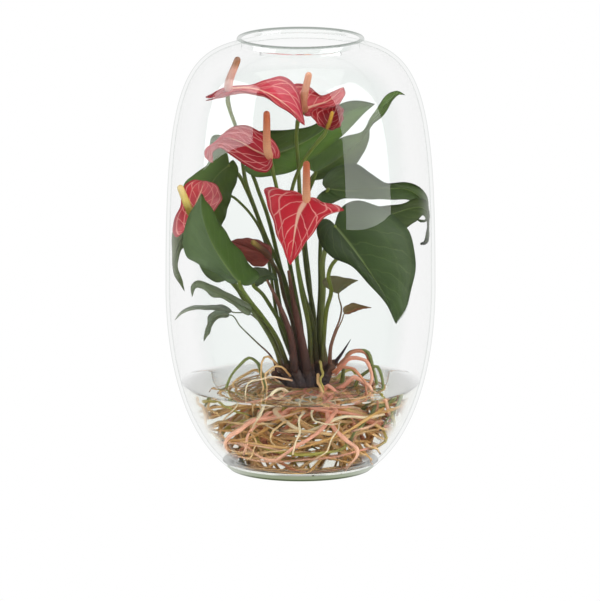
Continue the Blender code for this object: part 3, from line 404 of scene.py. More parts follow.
FLOWERS = {
    "far_top": {
        "left": (
            (-54, -8, 263.5), (-61, -3, 261), (-65, 1, 258), (-59.5, 5, 260.5), (-50, 7, 264),
            (-41.5, 6, 266), (-32, 4, 266.5), (-23.5, 2, 270.5), (-14, -2, 274), (-7, -8, 272),
            (-1.5, -14, 264.5), (1, -19, 254.5),
        ),
        "midrib": (
            (-49, -12, 265.5), (-38, -12, 266.5), (-26, -14, 264.5), (-15, -17, 259),
            (-5, -21, 251.5), (3, -22, 242.5),
        ),
        "right": (
            (-54, -15, 262), (-61, -18, 259), (-64.5, -20, 259), (-58, -24, 261),
            (-50, -27, 264.5), (-41.5, -28, 267), (-33.5, -28, 266.5), (-25, -27, 264.5),
            (-18, -26, 259.5), (-10.5, -25, 254), (-4, -24, 249),
        ),
        "spadix": (
            (-49, -13, 267.5), (-43, -15, 286.5),
        ),
        "stalk": (
            (1, 5, 72.5), (-5, 7, 103), (-12, 7, 133), (-23.5, 4, 159.5), (-31.5, 0, 181.5),
            (-37.5, 0, 199.5), (-40, 1, 215), (-44.5, -3, 239), (-48, -9, 250.5),
            (-49.5, -12, 258.5), (-49, -12.5, 263.5),
        ),
        "stalk_radius": 1.7,
    },
    "top": {
        "left": (
            (-1, -1.5, 253), (-4, 3, 261), (-4.5, 6, 266.5), (0.5, 6.5, 267), (7, 4.5, 264),
            (15, 2, 259), (22.5, 3.5, 262),
        ),
        "midrib": (
            (3, -3, 250), (10.5, -1.5, 252.5), (19, 0, 255.5), (26, 3, 261), (29.5, 5, 264.5),
        ),
        "right": (
            (2.5, -4.5, 247), (8, -5.5, 245.5), (15, -4.5, 247.5), (21, -3, 250),
            (27, -0.5, 254.5), (30.5, 2.5, 260),
        ),
        "spadix": (
            (2, -8, 253), (5.5, -11, 276),
        ),
        "stalk": (
            (9, 3, 72.5), (9.5, 5, 102), (5, 5, 130), (1.5, 4, 162), (-0.5, 2, 190),
            (-1.5, 0, 211.5), (-2.5, -3, 236.5), (-1, -3.5, 244.5), (1.5, -4, 248),
        ),
        "stalk_radius": 1.7,
    },
    "young": {
        "left": (
            (12.5, -19, 242.5), (8, -22, 248), (7, -22, 252), (11.5, -20, 254),
            (17.5, -18, 253.5),
        ),
        "midrib": (
            (18, -14, 239), (20.5, -11, 244), (23, -10, 249), (25, -14, 255),
        ),
        "right": (
            (23, -18, 239), (28, -20, 243), (29, -20, 248.5), (29, -18, 253),
        ),
        "spadix": (
            (19.5, -16.5, 243), (21.5, -19, 250.5),
        ),
        "stalk": (
            (11, -3, 72.5), (8.5, -5, 100.5), (1.5, -8, 125.5), (-4.5, -9, 161), (-6.5, -8, 192),
            (-2.5, -8, 206), (3, -9, 217), (12, -12, 229.5), (17.5, -14, 237),
        ),
        "stalk_radius": 1.6,
    },
    "mid_left": {
        "left": (
            (-15, -16, 218), (-14, -10, 222.5), (-22.5, -9, 233), (-28, -7.5, 236),
            (-38, -5.5, 239.5), (-47, -5.5, 238.5), (-52.5, -7, 234), (-59.5, -9, 227.5),
            (-64.5, -8, 223.5), (-65, -4, 217.5),
        ),
        "midrib": (
            (-21, -14, 219), (-31.5, -12, 223.5), (-41.5, -9.5, 229), (-51.5, -8, 231.5),
            (-58, -14, 227.5), (-63, -11, 222), (-63, -7, 216.5), (-59.5, -9, 214),
        ),
        "right": (
            (-19, -20, 215.5), (-22.5, -17.5, 209.5), (-29, -17, 209.5), (-38, -15, 214),
            (-46, -13, 219), (-52, -11, 223.5), (-56, -20, 226), (-59.5, -17, 222.5),
            (-60, -13, 217.5),
        ),
        "spadix": (
            (-22, -18, 222.5), (-23, -24, 250.5),
        ),
        "stalk": (
            (3, -1, 72.5), (-0.5, -3, 105), (-6, -5, 135.5), (-11.5, -7, 167.5), (-16, -11, 196),
            (-19.5, -14, 212), (-20.5, -14.5, 217),
        ),
        "stalk_radius": 1.7,
    },
    "far_left": {
        "left": (
            (-76.5, -15.5, 174), (-80, -14.5, 167), (-85.5, -12.5, 163.5), (-87.5, -9, 166.5),
            (-87, -9, 172), (-85, -10.5, 178.5), (-82, -11, 185), (-81.5, -10, 192.5),
            (-79, -10.5, 199), (-72.5, -13, 203),
        ),
        "midrib": (
            (-74, -16, 179.5), (-71, -16, 188), (-67, -17, 197.5), (-65.5, -16.5, 203),
        ),
        "right": (
            (-71, -18, 175), (-66.5, -20.5, 176), (-61, -22.5, 181.5), (-55.5, -24.5, 187.5),
            (-53.5, -24.5, 193), (-55.5, -22.5, 199), (-60, -19.5, 202.5),
        ),
        "spadix": (
            (-75, -20, 182), (-82, -16, 198),
        ),
        "stalk": (
            (-8.5, -7, 72.5), (-22.5, -15, 99), (-38, -22, 121), (-52, -25, 146.5),
            (-65, -20, 164.5), (-72, -14, 176.5),
        ),
        "stalk_radius": 1.7,
    },
    "front": {
        "left": (
            (-0.5, -42.5, 199), (-10, -40, 201), (-19.5, -38, 202.5), (-24.5, -37, 201),
            (-23.5, -38, 194.5), (-19.5, -40.5, 182.5), (-15, -43.5, 168), (-10.5, -45.5, 158),
        ),
        "midrib": (
            (4, -44, 195), (-0.5, -44.5, 187), (-3, -45.5, 177.5), (-5, -46.5, 164.5),
            (-7, -47.5, 150.5),
        ),
        "right": (
            (7, -43, 196), (18, -41, 191.5), (27, -39, 189), (29.5, -38.5, 187),
            (19, -41, 184.5), (9.5, -43.5, 173.5), (2.5, -45, 163.5), (-4, -47, 154.5),
        ),
        "spadix": (
            (4, -48, 197), (4, -52, 221),
        ),
        "stalk": (
            (7, -9, 72.5), (6, -17, 99.5), (0.5, -30, 130), (-2.5, -38, 156), (-1.5, -41, 174),
            (1.5, -42, 188), (4, -42.5, 193),
        ),
        "stalk_radius": 1.7,
    },
    "old": {
        "left": (
            (-19.5, -24.5, 157.5), (-24.5, -24, 161.5), (-33.5, -23.5, 164.5),
            (-41.5, -24, 164.5),
        ),
        "midrib": (
            (-21.5, -26, 152), (-29, -25.5, 155.5), (-39, -25, 159.5), (-48.5, -25, 162.5),
        ),
        "right": (
            (-22.5, -26, 148), (-29, -25.5, 145), (-36, -25, 148.5), (-43, -25, 155.5),
        ),
        "spadix": (
            (-23.5, -30, 155.5), (-32, -36, 164),
        ),
        "stalk": (
            (0.5, -5.5, 72.5), (-5, -10, 101.5), (-11.5, -16, 123.5), (-16, -22, 142.5),
            (-20.5, -25, 150),
        ),
        "stalk_radius": 1.5,
    },
}
SHEATHS = {
    "sheath_tall": (
        (4, -14, 72.5), (0.5, -19, 94), (-5, -24, 121.5), (-8, -27, 142),
    ),
    "sheath_short": (
        (-4, -16, 72.5), (-7, -22, 97.5), (-15, -27, 120), (-22.5, -31, 136.5),
    ),
}
SPIKE = ((22, 4.5, 70.5), (27, 4, 77), (34.5, 3, 89))
# Each named root: its tone, its radius and its route.
NAMED_ROOTS = (
    ("green", 1.5, (
        (-2, -4, 42), (-20, -10, 50), (-26, -12, 64), (-29, -13, 76), (-35, -14, 80),
        (-43, -14, 72), (-50, -12, 62), (-54, -8, 48),
    )),
    ("green", 1.7, (
        (14, 2, 42), (27, 7, 54), (30, 8, 70), (36, 8, 80), (44, 7, 80.5), (50, 6, 70),
        (52, 4, 56), (49, 0, 42),
    )),
    ("green", 1.5, (
        (16, -4, 40), (34, -6, 53), (44, -9, 68), (51, -10, 73), (56.5, -10, 64), (54, -12, 50),
        (46, -16, 37),
    )),
    ("pink", 1.9, (
        (11, -8, 42), (15, -18, 54), (19, -21, 61.5), (27, -23, 50), (32, -24, 36), (30, -32, 26),
    )),
    ("pink", 2, ((15, -5, 45), (27, -13, 58), (38, -16, 66), (47, -18, 60), (52, -20, 46),)),
    ("tan", 1.3, ((0, 0, 44), (-20, 3, 58), (-31, 1, 68), (-44, -2, 61), (-53, -4, 46),)),
    ("tan", 1.3, ((2, 4, 44), (-8, 22, 58), (-15, 32, 64), (-22, 42, 54), (-24, 46, 40),)),
    ("olive", 1.5, ((13, 4, 44), (26, 22, 58), (34, 30, 63), (41, 36, 52), (40, 38, 38),)),
    ("pale", 1.4, ((3, -9, 42), (-6, -22, 54), (-14, -32, 62), (-24, -42, 52), (-30, -44, 38),)),
    ("tan", 0.9, (
        (-10.5, -12, 69), (-17, -16, 76.5), (-23.5, -18, 81), (-27, -19, 77), (-26.5, -20, 69),
        (-26, -20, 62), (-26, -20, 48),
    )),
    ("tan", 0.8, (
        (-7, -14, 67), (-12.5, -18, 73.5), (-19.5, -22, 74.5), (-23.5, -24, 70.5),
        (-23.5, -25, 64.5), (-22, -27, 50),
    )),
    ("pink", 1.6, (
        (24.5, -6, 67.5), (30.5, -10, 75.5), (38, -12, 79.5), (45, -12, 76.5), (48.5, -12, 70.5),
        (48, -12, 62), (44, -12, 46),
    )),
    ("brown", 1.5, (
        (26, 2, 70.5), (32.5, 4, 77), (40, 6, 81), (46.5, 8, 76), (48.5, 8, 69), (50, 8, 56),
        (50, 6, 44),
    )),
    ("brown", 1.2, (
        (22.5, -14, 69.5), (28.5, -20, 74.5), (35.5, -24, 74), (41, -26, 69.5), (44.5, -27, 63.5),
        (44, -28, 46),
    )),
    ("olive", 1, (
        (13.5, -14, 76.5), (15, -18, 70), (14, -22, 64.5), (15.5, -24, 59.5), (16, -27, 48),
    )),
    ("tan", 1.1, (
        (12, -16, 68), (12.5, -22, 62.5), (15, -26, 58.5), (18, -32, 46), (14, -38, 36),
    )),
    ("pale", 0.7, (
        (-6, -18, 64.5), (-14, -26, 68), (-25, -32, 69), (-34.5, -36, 66.5), (-40, -36, 52),
        (-48, -32, 44),
    )),
    ("pink", 2.3, (
        (5, -3, 52), (-2.5, -20, 53.5), (-10.5, -30, 49.5), (-20.5, -38, 47.5), (-30, -44, 45),
        (-38.5, -46, 39.5), (-46, -46, 33), (-50.5, -39.5, 24), (-48.5, -30, 17),
    )),
    ("pale", 1.7, (
        (0, -6, 50), (-14, -30, 51.5), (-10, -40, 47), (-4, -46, 42), (3, -48, 39), (9.5, -48, 42),
        (18, -46, 46.5), (29, -42, 48.5), (39.5, -36, 47.5), (50, -26, 46.5),
    )),
    ("pink", 1.5, (
        (5, -3, 52), (-23, -36, 47), (-28.5, -42, 41), (-33.5, -46, 33.5), (-36, -46, 26),
        (-36.5, -40, 19),
    )),
    ("pink", 2, (
        (12, -6, 50), (15, -34, 52.5), (18, -44, 46.5), (23, -50, 38.5), (30.5, -50, 31),
        (36.5, -46, 26), (37.5, -46, 18.5), (34.5, -44, 12.5), (30.5, -40, 7),
    )),
    ("pink", 1.7, (
        (12, -8, 50), (20, -40, 51.5), (16, -50, 44), (7.5, -54, 37), (-1.5, -56, 30),
        (-9.5, -54, 23.5), (-18.5, -50, 18.5), (-27.5, -46, 20), (-32.5, -42, 26.5),
        (-39, -36, 28.5),
    )),
    ("pale", 1, ((6, -10, 50), (-0.5, -52, 47), (-1, -58, 39), (-3, -60, 31), (-5.5, -58, 24),)),
    ("olive", 2.1, (
        (-6, 0, 44), (-26, -30, 34.5), (-23.5, -40, 28.5), (-16.5, -46, 25.5), (-6.5, -50, 24.5),
        (6, -52, 23.5), (17.5, -50, 24), (25.5, -44, 26.5), (28, -34, 32),
    )),
    ("tan", 1.6, (
        (-59.5, -10, 55), (-60, -10, 52), (-54.5, -10, 49.5), (-55, -10, 43), (-54.5, -12, 35.5),
        (-51, -16, 31.5), (-47, -22, 28.5),
    )),
    ("tan", 0.8, ((-53.5, -12, 49.5), (-50.5, -18, 48.5), (-46, -24, 46),)),
    ("tan", 0.8, ((-55.5, -14, 34), (-53, -20, 37), (-49, -26, 40.5),)),
    ("olive", 1.1, (
        (-56, -14, 54), (-48, -22, 56), (-42.5, -28, 53), (-36, -34, 50.5), (-29, -36, 49),
    )),
    ("green", 1.8, (
        (53.5, -14, 56), (50, -16, 54), (43.5, -22, 52.5), (40.5, -28, 47), (36.5, -34, 42),
        (32.5, -38, 36.5), (30.5, -38, 31),
    )),
    ("olive", 1.6, (
        (40, -4, 54), (46, -10, 53.5), (51, -12, 47.5), (54.5, -12, 39.5), (56.5, -12, 30.5),
        (58, -14, 20.5), (46.5, -18, 16.5),
    )),
    ("brown", 2.2, ((44, 4, 56), (46.5, 10, 54), (50, 12, 49), (51, 14, 42.5), (50, 16, 35),)),
    ("tan", 1.2, ((40, -8, 40), (42, -20, 41), (48.5, -18, 37), (54.5, -8, 30.5),)),
    ("tan", 1, ((40, -10, 34), (42, -24, 34.5), (50, -18, 29), (58.5, -6, 19),)),
    ("tan", 1.2, ((38, -14, 26), (40, -30, 27.5), (48, -24, 21.5), (55, -12, 12),)),
    ("ochre", 1.1, ((30, -20, 18), (37, -34, 22), (46.5, -28, 13.5), (49, -14, 5.5),)),
    ("pale", 0.9, ((10, -12, 48), (7, -44, 52), (8.5, -52, 47), (15, -54, 45), (22.5, -52, 45),)),
    ("tan", 1, (
        (2, -10, 46), (-11.5, -46, 44), (-18, -52, 39.5), (-18.5, -54, 32.5), (-13, -54, 28.5),
        (-6.5, -54, 30),
    )),
    ("tan", 0.9, (
        (-10, -6, 40), (-29.5, -40, 37.5), (-28, -46, 29), (-31.5, -46, 21), (-37, -40, 14),
    )),
    ("pale", 0.7, (
        (20, -10, 44), (22.5, -50, 39.5), (19, -54, 31), (15.5, -54, 24), (10, -52, 19.5),
    )),
)

# Screen colours, in steps of 255: a blade's left and right half, and stops along a stalk. A blade's half
# tones hold its own colour with painted sheen and painted shade: the paler and darker halves, and the pale
# grey-green of far_left, top_right and front_left's left half, stand for light falling on them.
# Own colour with painted sheen and painted shade in each half.
LEAF_COLOUR_AND_SHEEN = {
    "right_front": ((42, 58, 22), (54, 72, 34)),
    "right_arching": ((50, 66, 28), (52, 70, 30)),
    "right_back": ((48, 60, 26), (54, 68, 32)),
    "top_centre": ((50, 70, 16), (68, 96, 28)),
    "top_right": ((84, 106, 56), (74, 92, 46)),
    "upper_left": ((84, 112, 50), (70, 94, 30)),
    "far_left": ((104, 114, 84), (88, 100, 66)),
    "front_left": ((78, 96, 62), (58, 80, 26)),
    "low_left": ((74, 90, 52), (70, 88, 42)),
    "low_centre": ((80, 92, 64), (72, 86, 54)),
}
LEAF_PALE_STALK = ((0.0, (84, 70, 34)), (0.12, (96, 100, 44)), (0.6, (128, 140, 70)), (1.0, (140, 150, 84)))
STALK_TONES = {
    "plain": ((0.0, (70, 52, 22)), (0.12, (74, 78, 20)), (0.6, (84, 98, 30)), (1.0, (104, 120, 40))),
    "leaf_right_back": LEAF_PALE_STALK,
    "leaf_right_front": ((0.0, (76, 60, 24)), (0.2, (92, 100, 24)), (1.0, (120, 134, 44))),
    "flower_old": ((0.0, (66, 44, 22)), (1.0, (72, 56, 26))),
}
YOUNG_TONES = {
    "curled_left": (
        ((104, 116, 96), (96, 108, 84)),
        ((0.0, (92, 54, 66)), (0.3, (110, 74, 70)), (0.6, (92, 104, 64)), (1.0, (104, 118, 74))),
    ),
    "narrow_left": (
        ((108, 118, 92), (100, 112, 82)),
        ((0.0, (70, 60, 24)), (0.4, (82, 92, 34)), (1.0, (104, 118, 74))),
    ),
    "thread_left": (
        ((140, 148, 134), (130, 138, 120)),
        ((0.0, (70, 60, 24)), (0.4, (92, 98, 50)), (1.0, (130, 140, 116))),
    ),
    "brown_right": (
        ((110, 88, 48), (122, 76, 44)),
        ((0.0, (120, 84, 66)), (0.5, (134, 96, 74)), (1.0, (116, 92, 56))),
    ),
    "small_right": (
        ((112, 106, 70), (104, 98, 60)),
        ((0.0, (120, 70, 56)), (0.5, (126, 84, 66)), (1.0, (112, 106, 60))),
    ),
}
# Own red with painted sheen and painted shade: each spathe's two halves differ by how light falls on them.
SPATHE_COLOUR_AND_SHEEN = {
    "front": ((200, 20, 42), (188, 18, 40)),
    "mid_left": ((188, 32, 52), (172, 24, 42)),
    "far_top": ((178, 44, 62), (164, 30, 44)),
    "top": ((164, 38, 48), (170, 44, 54)),
    "young": ((140, 16, 28), (150, 30, 40)),
    "far_left": ((170, 46, 56), (178, 70, 78)),
    "old": ((126, 44, 28), (132, 48, 32)),
}
SPIKE_TONES = {
    "plain": (
        (0.0, (216, 150, 110)), (0.3, (214, 152, 112)), (0.6, (204, 126, 84)),
        (0.85, (194, 98, 50)), (1.0, (188, 88, 38)),
    ),
    "top": ((0.0, (196, 120, 84)), (0.5, (200, 128, 92)), (1.0, (206, 138, 100))),
    "far_left": (
        (0.0, (120, 104, 12)), (0.4, (138, 116, 16)), (0.6, (190, 168, 70)), (1.0, (216, 190, 120)),
    ),
    "far_top": (
        (0.0, (220, 180, 172)), (0.7, (214, 160, 140)), (0.85, (160, 110, 76)), (1.0, (150, 96, 56)),
    ),
    "young": ((0.0, (150, 110, 20)), (1.0, (214, 160, 40))),
    "old": ((0.0, (84, 44, 22)), (0.6, (96, 56, 26)), (0.9, (128, 100, 30)), (1.0, (150, 124, 40))),
}
SHEATH_TONES = {
    "dry": ((0.0, (58, 30, 22)), (0.4, (84, 40, 26)), (0.8, (96, 52, 32)), (1.0, (112, 72, 44))),
    "bud": ((0.0, (70, 48, 56)), (0.5, (62, 50, 58)), (1.0, (58, 52, 62))),
}
ROOT_TONES = {
    "green": ((0.0, (124, 127, 63)), (0.5, (118, 131, 72)), (0.9, (145, 156, 90)), (1.0, (90, 81, 56))),
    "olive": ((0.0, (188, 169, 86)), (0.6, (176, 165, 70)), (0.95, (154, 149, 70)), (1.0, (68, 56, 50))),
    "pink": ((0.0, (242, 158, 131)), (0.5, (250, 176, 149)), (0.95, (250, 199, 165)), (1.0, (169, 127, 104))),
    "pale": ((0.0, (250, 203, 165)), (0.6, (250, 235, 197)), (1.0, (250, 221, 181))),
    "tan": ((0.0, (231, 183, 120)), (0.5, (242, 199, 138)), (0.95, (246, 210, 154)), (1.0, (102, 81, 66))),
    "brown": ((0.0, (201, 129, 95)), (0.5, (215, 142, 106)), (1.0, (165, 115, 84))),
    "ochre": ((0.0, (221, 169, 97)), (0.5, (235, 185, 111)), (1.0, (206, 158, 97))),
}
TANGLE_TONES = ("tan", "tan", "ochre", "tan", "pink", "pale", "ochre", "tan", "olive", "brown")

# Where the light comes from: name, size, azimuth, height, distance, roll, light and
# brightness in gloss. The square one hangs overhead and is tilted to face the plant.
SOFTBOXES = (
    ("right_softbox", (1.27, 2.5), 58.5, 1.18, 1.6, 3.0, 1.9, 4.2),
    ("left_softbox", (1.5, 1.8), -74.0, 1.2, 1.6, 14.0, 1.5, 5.4),
    ("top_softbox", (1.8, 1.8), 10.0, 2.0, 0.4, 0.0, 1.2, 1.5),
)
AIM_HEIGHT = 0.15
IMAGE_STEP = 0.02
LONG_SIDE = 601
METRES_PER_PIXEL = 0.000688
FOOT_PIXEL = (300.5, 467.0)
PICTURE_MIDDLE = (300.0, 300.5)
FLOOR_HALF = 20.0
FLOOR_DROP = -0.0004
FLOOR_CORNERS = ((-1, -1), (1, -1), (1, 1), (-1, 1))
FLOOR_WHITE = (0.86, 0.86, 0.86, 1.0)


def srgb(red, green, blue):
    """A screen colour in steps of 255 as the linear colour that a shader takes."""
    value = np.array((red, green, blue)) / 255
    low, high = value / 12.92, ((value + 0.055) / 1.055) ** 2.4
    return tuple(float(step) for step in np.where(value <= 0.04045, low, high))


# Settings, as the panel in the sidebar shows them.


def length(name, value, description):
    """A length in metres for the panel."""
    return FloatProperty(
        name=name, default=value, description=description, unit="LENGTH", subtype="DISTANCE"
    )


def colour(name, screen, description):
    """A colour for the panel, given as a screen colour."""
    return FloatVectorProperty(
        name=name,
        default=srgb(*screen),
        description=description,
        subtype="COLOR",
        size=3,
        min=0.0,
        max=1.0,
    )


class VaseSettings(bpy.types.PropertyGroup):
    """Sizes and tint of the vase and its water."""

    wall: length("Wall", 0.0024, "Thickness of the blown glass wall")
    water_level: length("Water level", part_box("water")[1][2], "Height of the water")
    water_rise: length("Water's rise", 0.0016, "How far the water climbs at the glass")
    sides: IntProperty(name="Sides", default=128, description="Faces round the vase")
    glass: colour("Glass", (252, 254, 253), "Colour that clear glass lets through")
    glass_depth: colour("Glass depth", (185, 205, 190), "Colour of a long way in glass")
    glass_edge: colour("Glass edge", (253, 253, 253), "Tint of glass that is seen at a slant")
    # Painted shade: after the slant tint above, glass seen edge on is tinted this grey.
    painted_outline_shade: colour("Glass outline", (226, 229, 227), "Tint of glass that is seen edge on")
    # Painted shade lines: the grey at the lip and the grey-green round the foot.
    painted_lip_shade: colour("Glass lip", (205, 209, 206), "Tint of the polished lip")
    painted_foot_shade: colour("Glass foot", (150, 160, 134), "Tint of the thick line round the foot")
    water: colour("Water depth", (225, 226, 200), "Colour of a long way in water")


class PlantSettings(bpy.types.PropertyGroup):
    """Sizes and colours of the plant."""

    leaf_thickness: length("Leaf", 0.0006, "Thickness of a leaf blade")
    spathe_thickness: length("Spathe", 0.0007, "Thickness of a spathe")
    rows: IntProperty(name="Rows", default=49, description="Rows of faces along a blade")
    across: IntProperty(name="Across", default=12, description="Faces across half a blade")
    leaf_vein: colour("Leaf vein", (122, 140, 78), "Colour of a leaf's veins")
    spathe_vein: colour("Spathe vein", (238, 158, 150), "Colour of a spathe's veins")
    spathe_rib: colour("Spathe rib", (240, 190, 165), "Colour of a spathe's midrib")


class StageSettings(bpy.types.PropertyGroup):
    """Camera and light of the studio."""

    elevation: FloatProperty(
        name="Camera elevation",
        default=math.radians(10.9),
        description="How far the camera looks down",
        subtype="ANGLE",
        unit="ROTATION",
    )
    distance: length("Camera distance", 7.0, "From the camera to the vase")
    surroundings: FloatProperty(
        name="Surroundings", default=1.2, description="Light from the white studio"
    )
    reflected: FloatProperty(
        name="Reflected", default=0.06, description="Brightness of the studio's mirror image"
    )


# Curves and surfaces.


def mm(points):
    """Millimetres to metres."""
    return np.asarray(points, dtype=float) * MM


def bezier(start, pull_start, pull_end, end, count):
    """(1-t)^3 a + 3t(1-t)^2 b + 3t^2(1-t) c + t^3 d for t from 0 to 1."""
    t = np.linspace(0.0, 1.0, count)[:, None]
    weights = ((1 - t) ** 3, 3 * t * (1 - t) ** 2, 3 * t * t * (1 - t), t**3)
    corners = [np.array(corner) for corner in (start, pull_start, pull_end, end)]
    return sum(weight * corner for weight, corner in zip(weights, corners))


def smooth_path(points, shares):
    """Cubic through the points: each piece blends its two ends and their slopes."""
    points = np.asarray(points, dtype=float)
    steps = np.linalg.norm(np.diff(points, axis=0), axis=1)
    points, steps = points[np.append(steps > 1e-6, True)], steps[steps > 1e-6]
    along = np.concatenate([[0.0], np.cumsum(steps)])
    slopes = np.gradient(points, along, axis=0)
    wanted = np.clip(np.asarray(shares, dtype=float), 0.0, 1.0) * along[-1]
    piece = np.clip(np.searchsorted(along, wanted, side="right") - 1, 0, len(points) - 2)
    span = steps[piece][:, None]
    u = ((wanted - along[piece]) / steps[piece])[:, None]
    return (
        (2 * u**3 - 3 * u**2 + 1) * points[piece]
        + (u**3 - 2 * u**2 + u) * span * slopes[piece]
        + (3 * u**2 - 2 * u**3) * points[piece + 1]
        + (u**3 - u**2) * span * slopes[piece + 1]
    )


def ramp(low, high, value):
    """0 below low, 1 above high, and 3s^2 - 2s^3 between."""
    share = np.clip((value - low) / (high - low), 0.0, 1.0)
    return share * share * (3 - 2 * share)


def blend(first, second, share):
    """first (1 - share) + second share, for colours, with share an array."""
    share = np.asarray(share)[..., None]
    return np.asarray(first) * (1 - share) + np.asarray(second) * share


def gradient(stops, value):
    """A colour that runs through screen colours at the given shares."""
    places = [place for place, _ in stops]
    colours = np.array([srgb(*screen) for _, screen in stops])
    return np.stack([np.interp(value, places, colours[:, c]) for c in range(3)], axis=-1)


def shut(grid, *values):
    """A closed surface whose first and last rings are points, and its values.

    grid is rings x spokes x 3. Each ring's faces join it to the next ring, and the two
    end rings shrink to one point each. The faces are turned round if they point inwards.
    """
    rings, spokes = grid.shape[:2]
    index = np.arange(rings * spokes).reshape(rings, spokes)
    index[0], index[-1] = index[0, 0], index[-1, 0]
    after = np.roll(index, -1, axis=1)
    corners = (index[:-1], after[:-1], after[1:], index[1:])
    faces = np.stack(corners, axis=-1).reshape(-1, 4)
    used, faces = np.unique(faces, return_inverse=True)
    faces = faces.reshape(-1, 4)
    points = grid.reshape(-1, 3)[used]
    values = [value.reshape(rings * spokes, -1)[used] for value in values]
    return (points, outwards(points, faces), *values)


def outwards(points, faces):
    """The faces, reversed if the volume that they enclose comes out negative."""
    a, b, c, d = (points[faces[:, corner]] for corner in range(4))
    volume = np.einsum("ij,ij->", a, np.cross(b, c)) + np.einsum("ij,ij->", a, np.cross(c, d))
    return faces if volume > 0 else faces[:, ::-1]


def point_normals(points, faces):
    """At each point, the sum of its faces' normals, made one long."""
    a, b, c, d = (points[faces[:, corner]] for corner in range(4))
    normals = np.zeros_like(points)
    for corner in range(4):
        np.add.at(normals, faces[:, corner], np.cross(c - a, d - b))
    return normals / (np.linalg.norm(normals, axis=1)[:, None] + 1e-12)


def lathe(profile, sides):
    """(radius, height) turned round Z: (r cos a, r sin a, h). It starts and ends at r 0."""
    angle = np.linspace(0.0, 2 * math.pi, sides, endpoint=False)
    radius, height = np.asarray(profile, dtype=float).T[:, :, None]
    x, y = radius * np.cos(angle), radius * np.sin(angle)
    return np.stack([x, y, height + 0 * angle], axis=-1) * MM


def tube(centre, radius, sides, flat):
    """centre(t) + radius(t) (cos a n + flat sin a b), with a half-round cap at each end.

    n is one fixed direction, the one most square to the whole route, made square to the
    route at each place; b is square to both. centre is rings x 3, radius is rings long.
    """
    run = np.gradient(centre, axis=0)
    run /= np.linalg.norm(run, axis=1)[:, None]
    cap = np.linspace(0.0, 0.5 * math.pi, CAP_RINGS + 1)[1:]
    first = centre[0] - radius[0] * np.sin(cap[::-1])[:, None] * run[0]
    last = centre[-1] + radius[-1] * np.sin(cap)[:, None] * run[-1]
    ends = (radius[0] * np.cos(cap[::-1]), radius[-1] * np.cos(cap))
    radius = np.concatenate([ends[0], radius, ends[1]])[:, None, None]
    centre = np.vstack([first, centre, last])[:, None, :]
    run = np.vstack([run[:1]] * CAP_RINGS + [run] + [run[-1:]] * CAP_RINGS)
    square = np.linalg.svd(run)[2][-1]
    normal = square - (run @ square)[:, None] * run
    normal /= np.linalg.norm(normal, axis=1)[:, None]
    other = np.cross(run, normal)
    angle = np.linspace(0.0, 2 * math.pi, sides, endpoint=False)[None, :, None]
    round_it = np.cos(angle) * normal[:, None, :] + flat * np.sin(angle) * other[:, None, :]
    return centre + radius * round_it


def tube_and_share(centre, radius, sides, flat=1.0):
    """A tube, and each point's share of its length, with the caps at 0 and 1."""
    grid = tube(centre, radius, sides, flat)
    share = np.linspace(0.0, 1.0, len(centre))
    share = np.concatenate([np.zeros(CAP_RINGS), share, np.ones(CAP_RINGS)])
    return grid, np.repeat(share[:, None], sides, axis=1)


def rod(route, radius, tip_share, rings, sides, flat=1.0):
    """A tapering tube along the route in millimetres, and the share along it."""
    share = np.linspace(0.0, 1.0, rings)
    centre = mm(smooth_path(route, share))
    thickness = radius * MM * (1 - (1 - tip_share) * share)
    return tube_and_share(centre, thickness, sides, flat)


def quilt(across, along, count, sweep):
    """Swelling between side veins: |sin(pi (count along - sweep across))|, 0 at the rib."""
    wave = np.abs(np.sin(math.pi * (count * along - sweep * np.abs(across))))
    return np.sqrt(wave) * ramp(0.0, 0.25, np.abs(across)) * ramp(1.0, 0.85, np.abs(across))


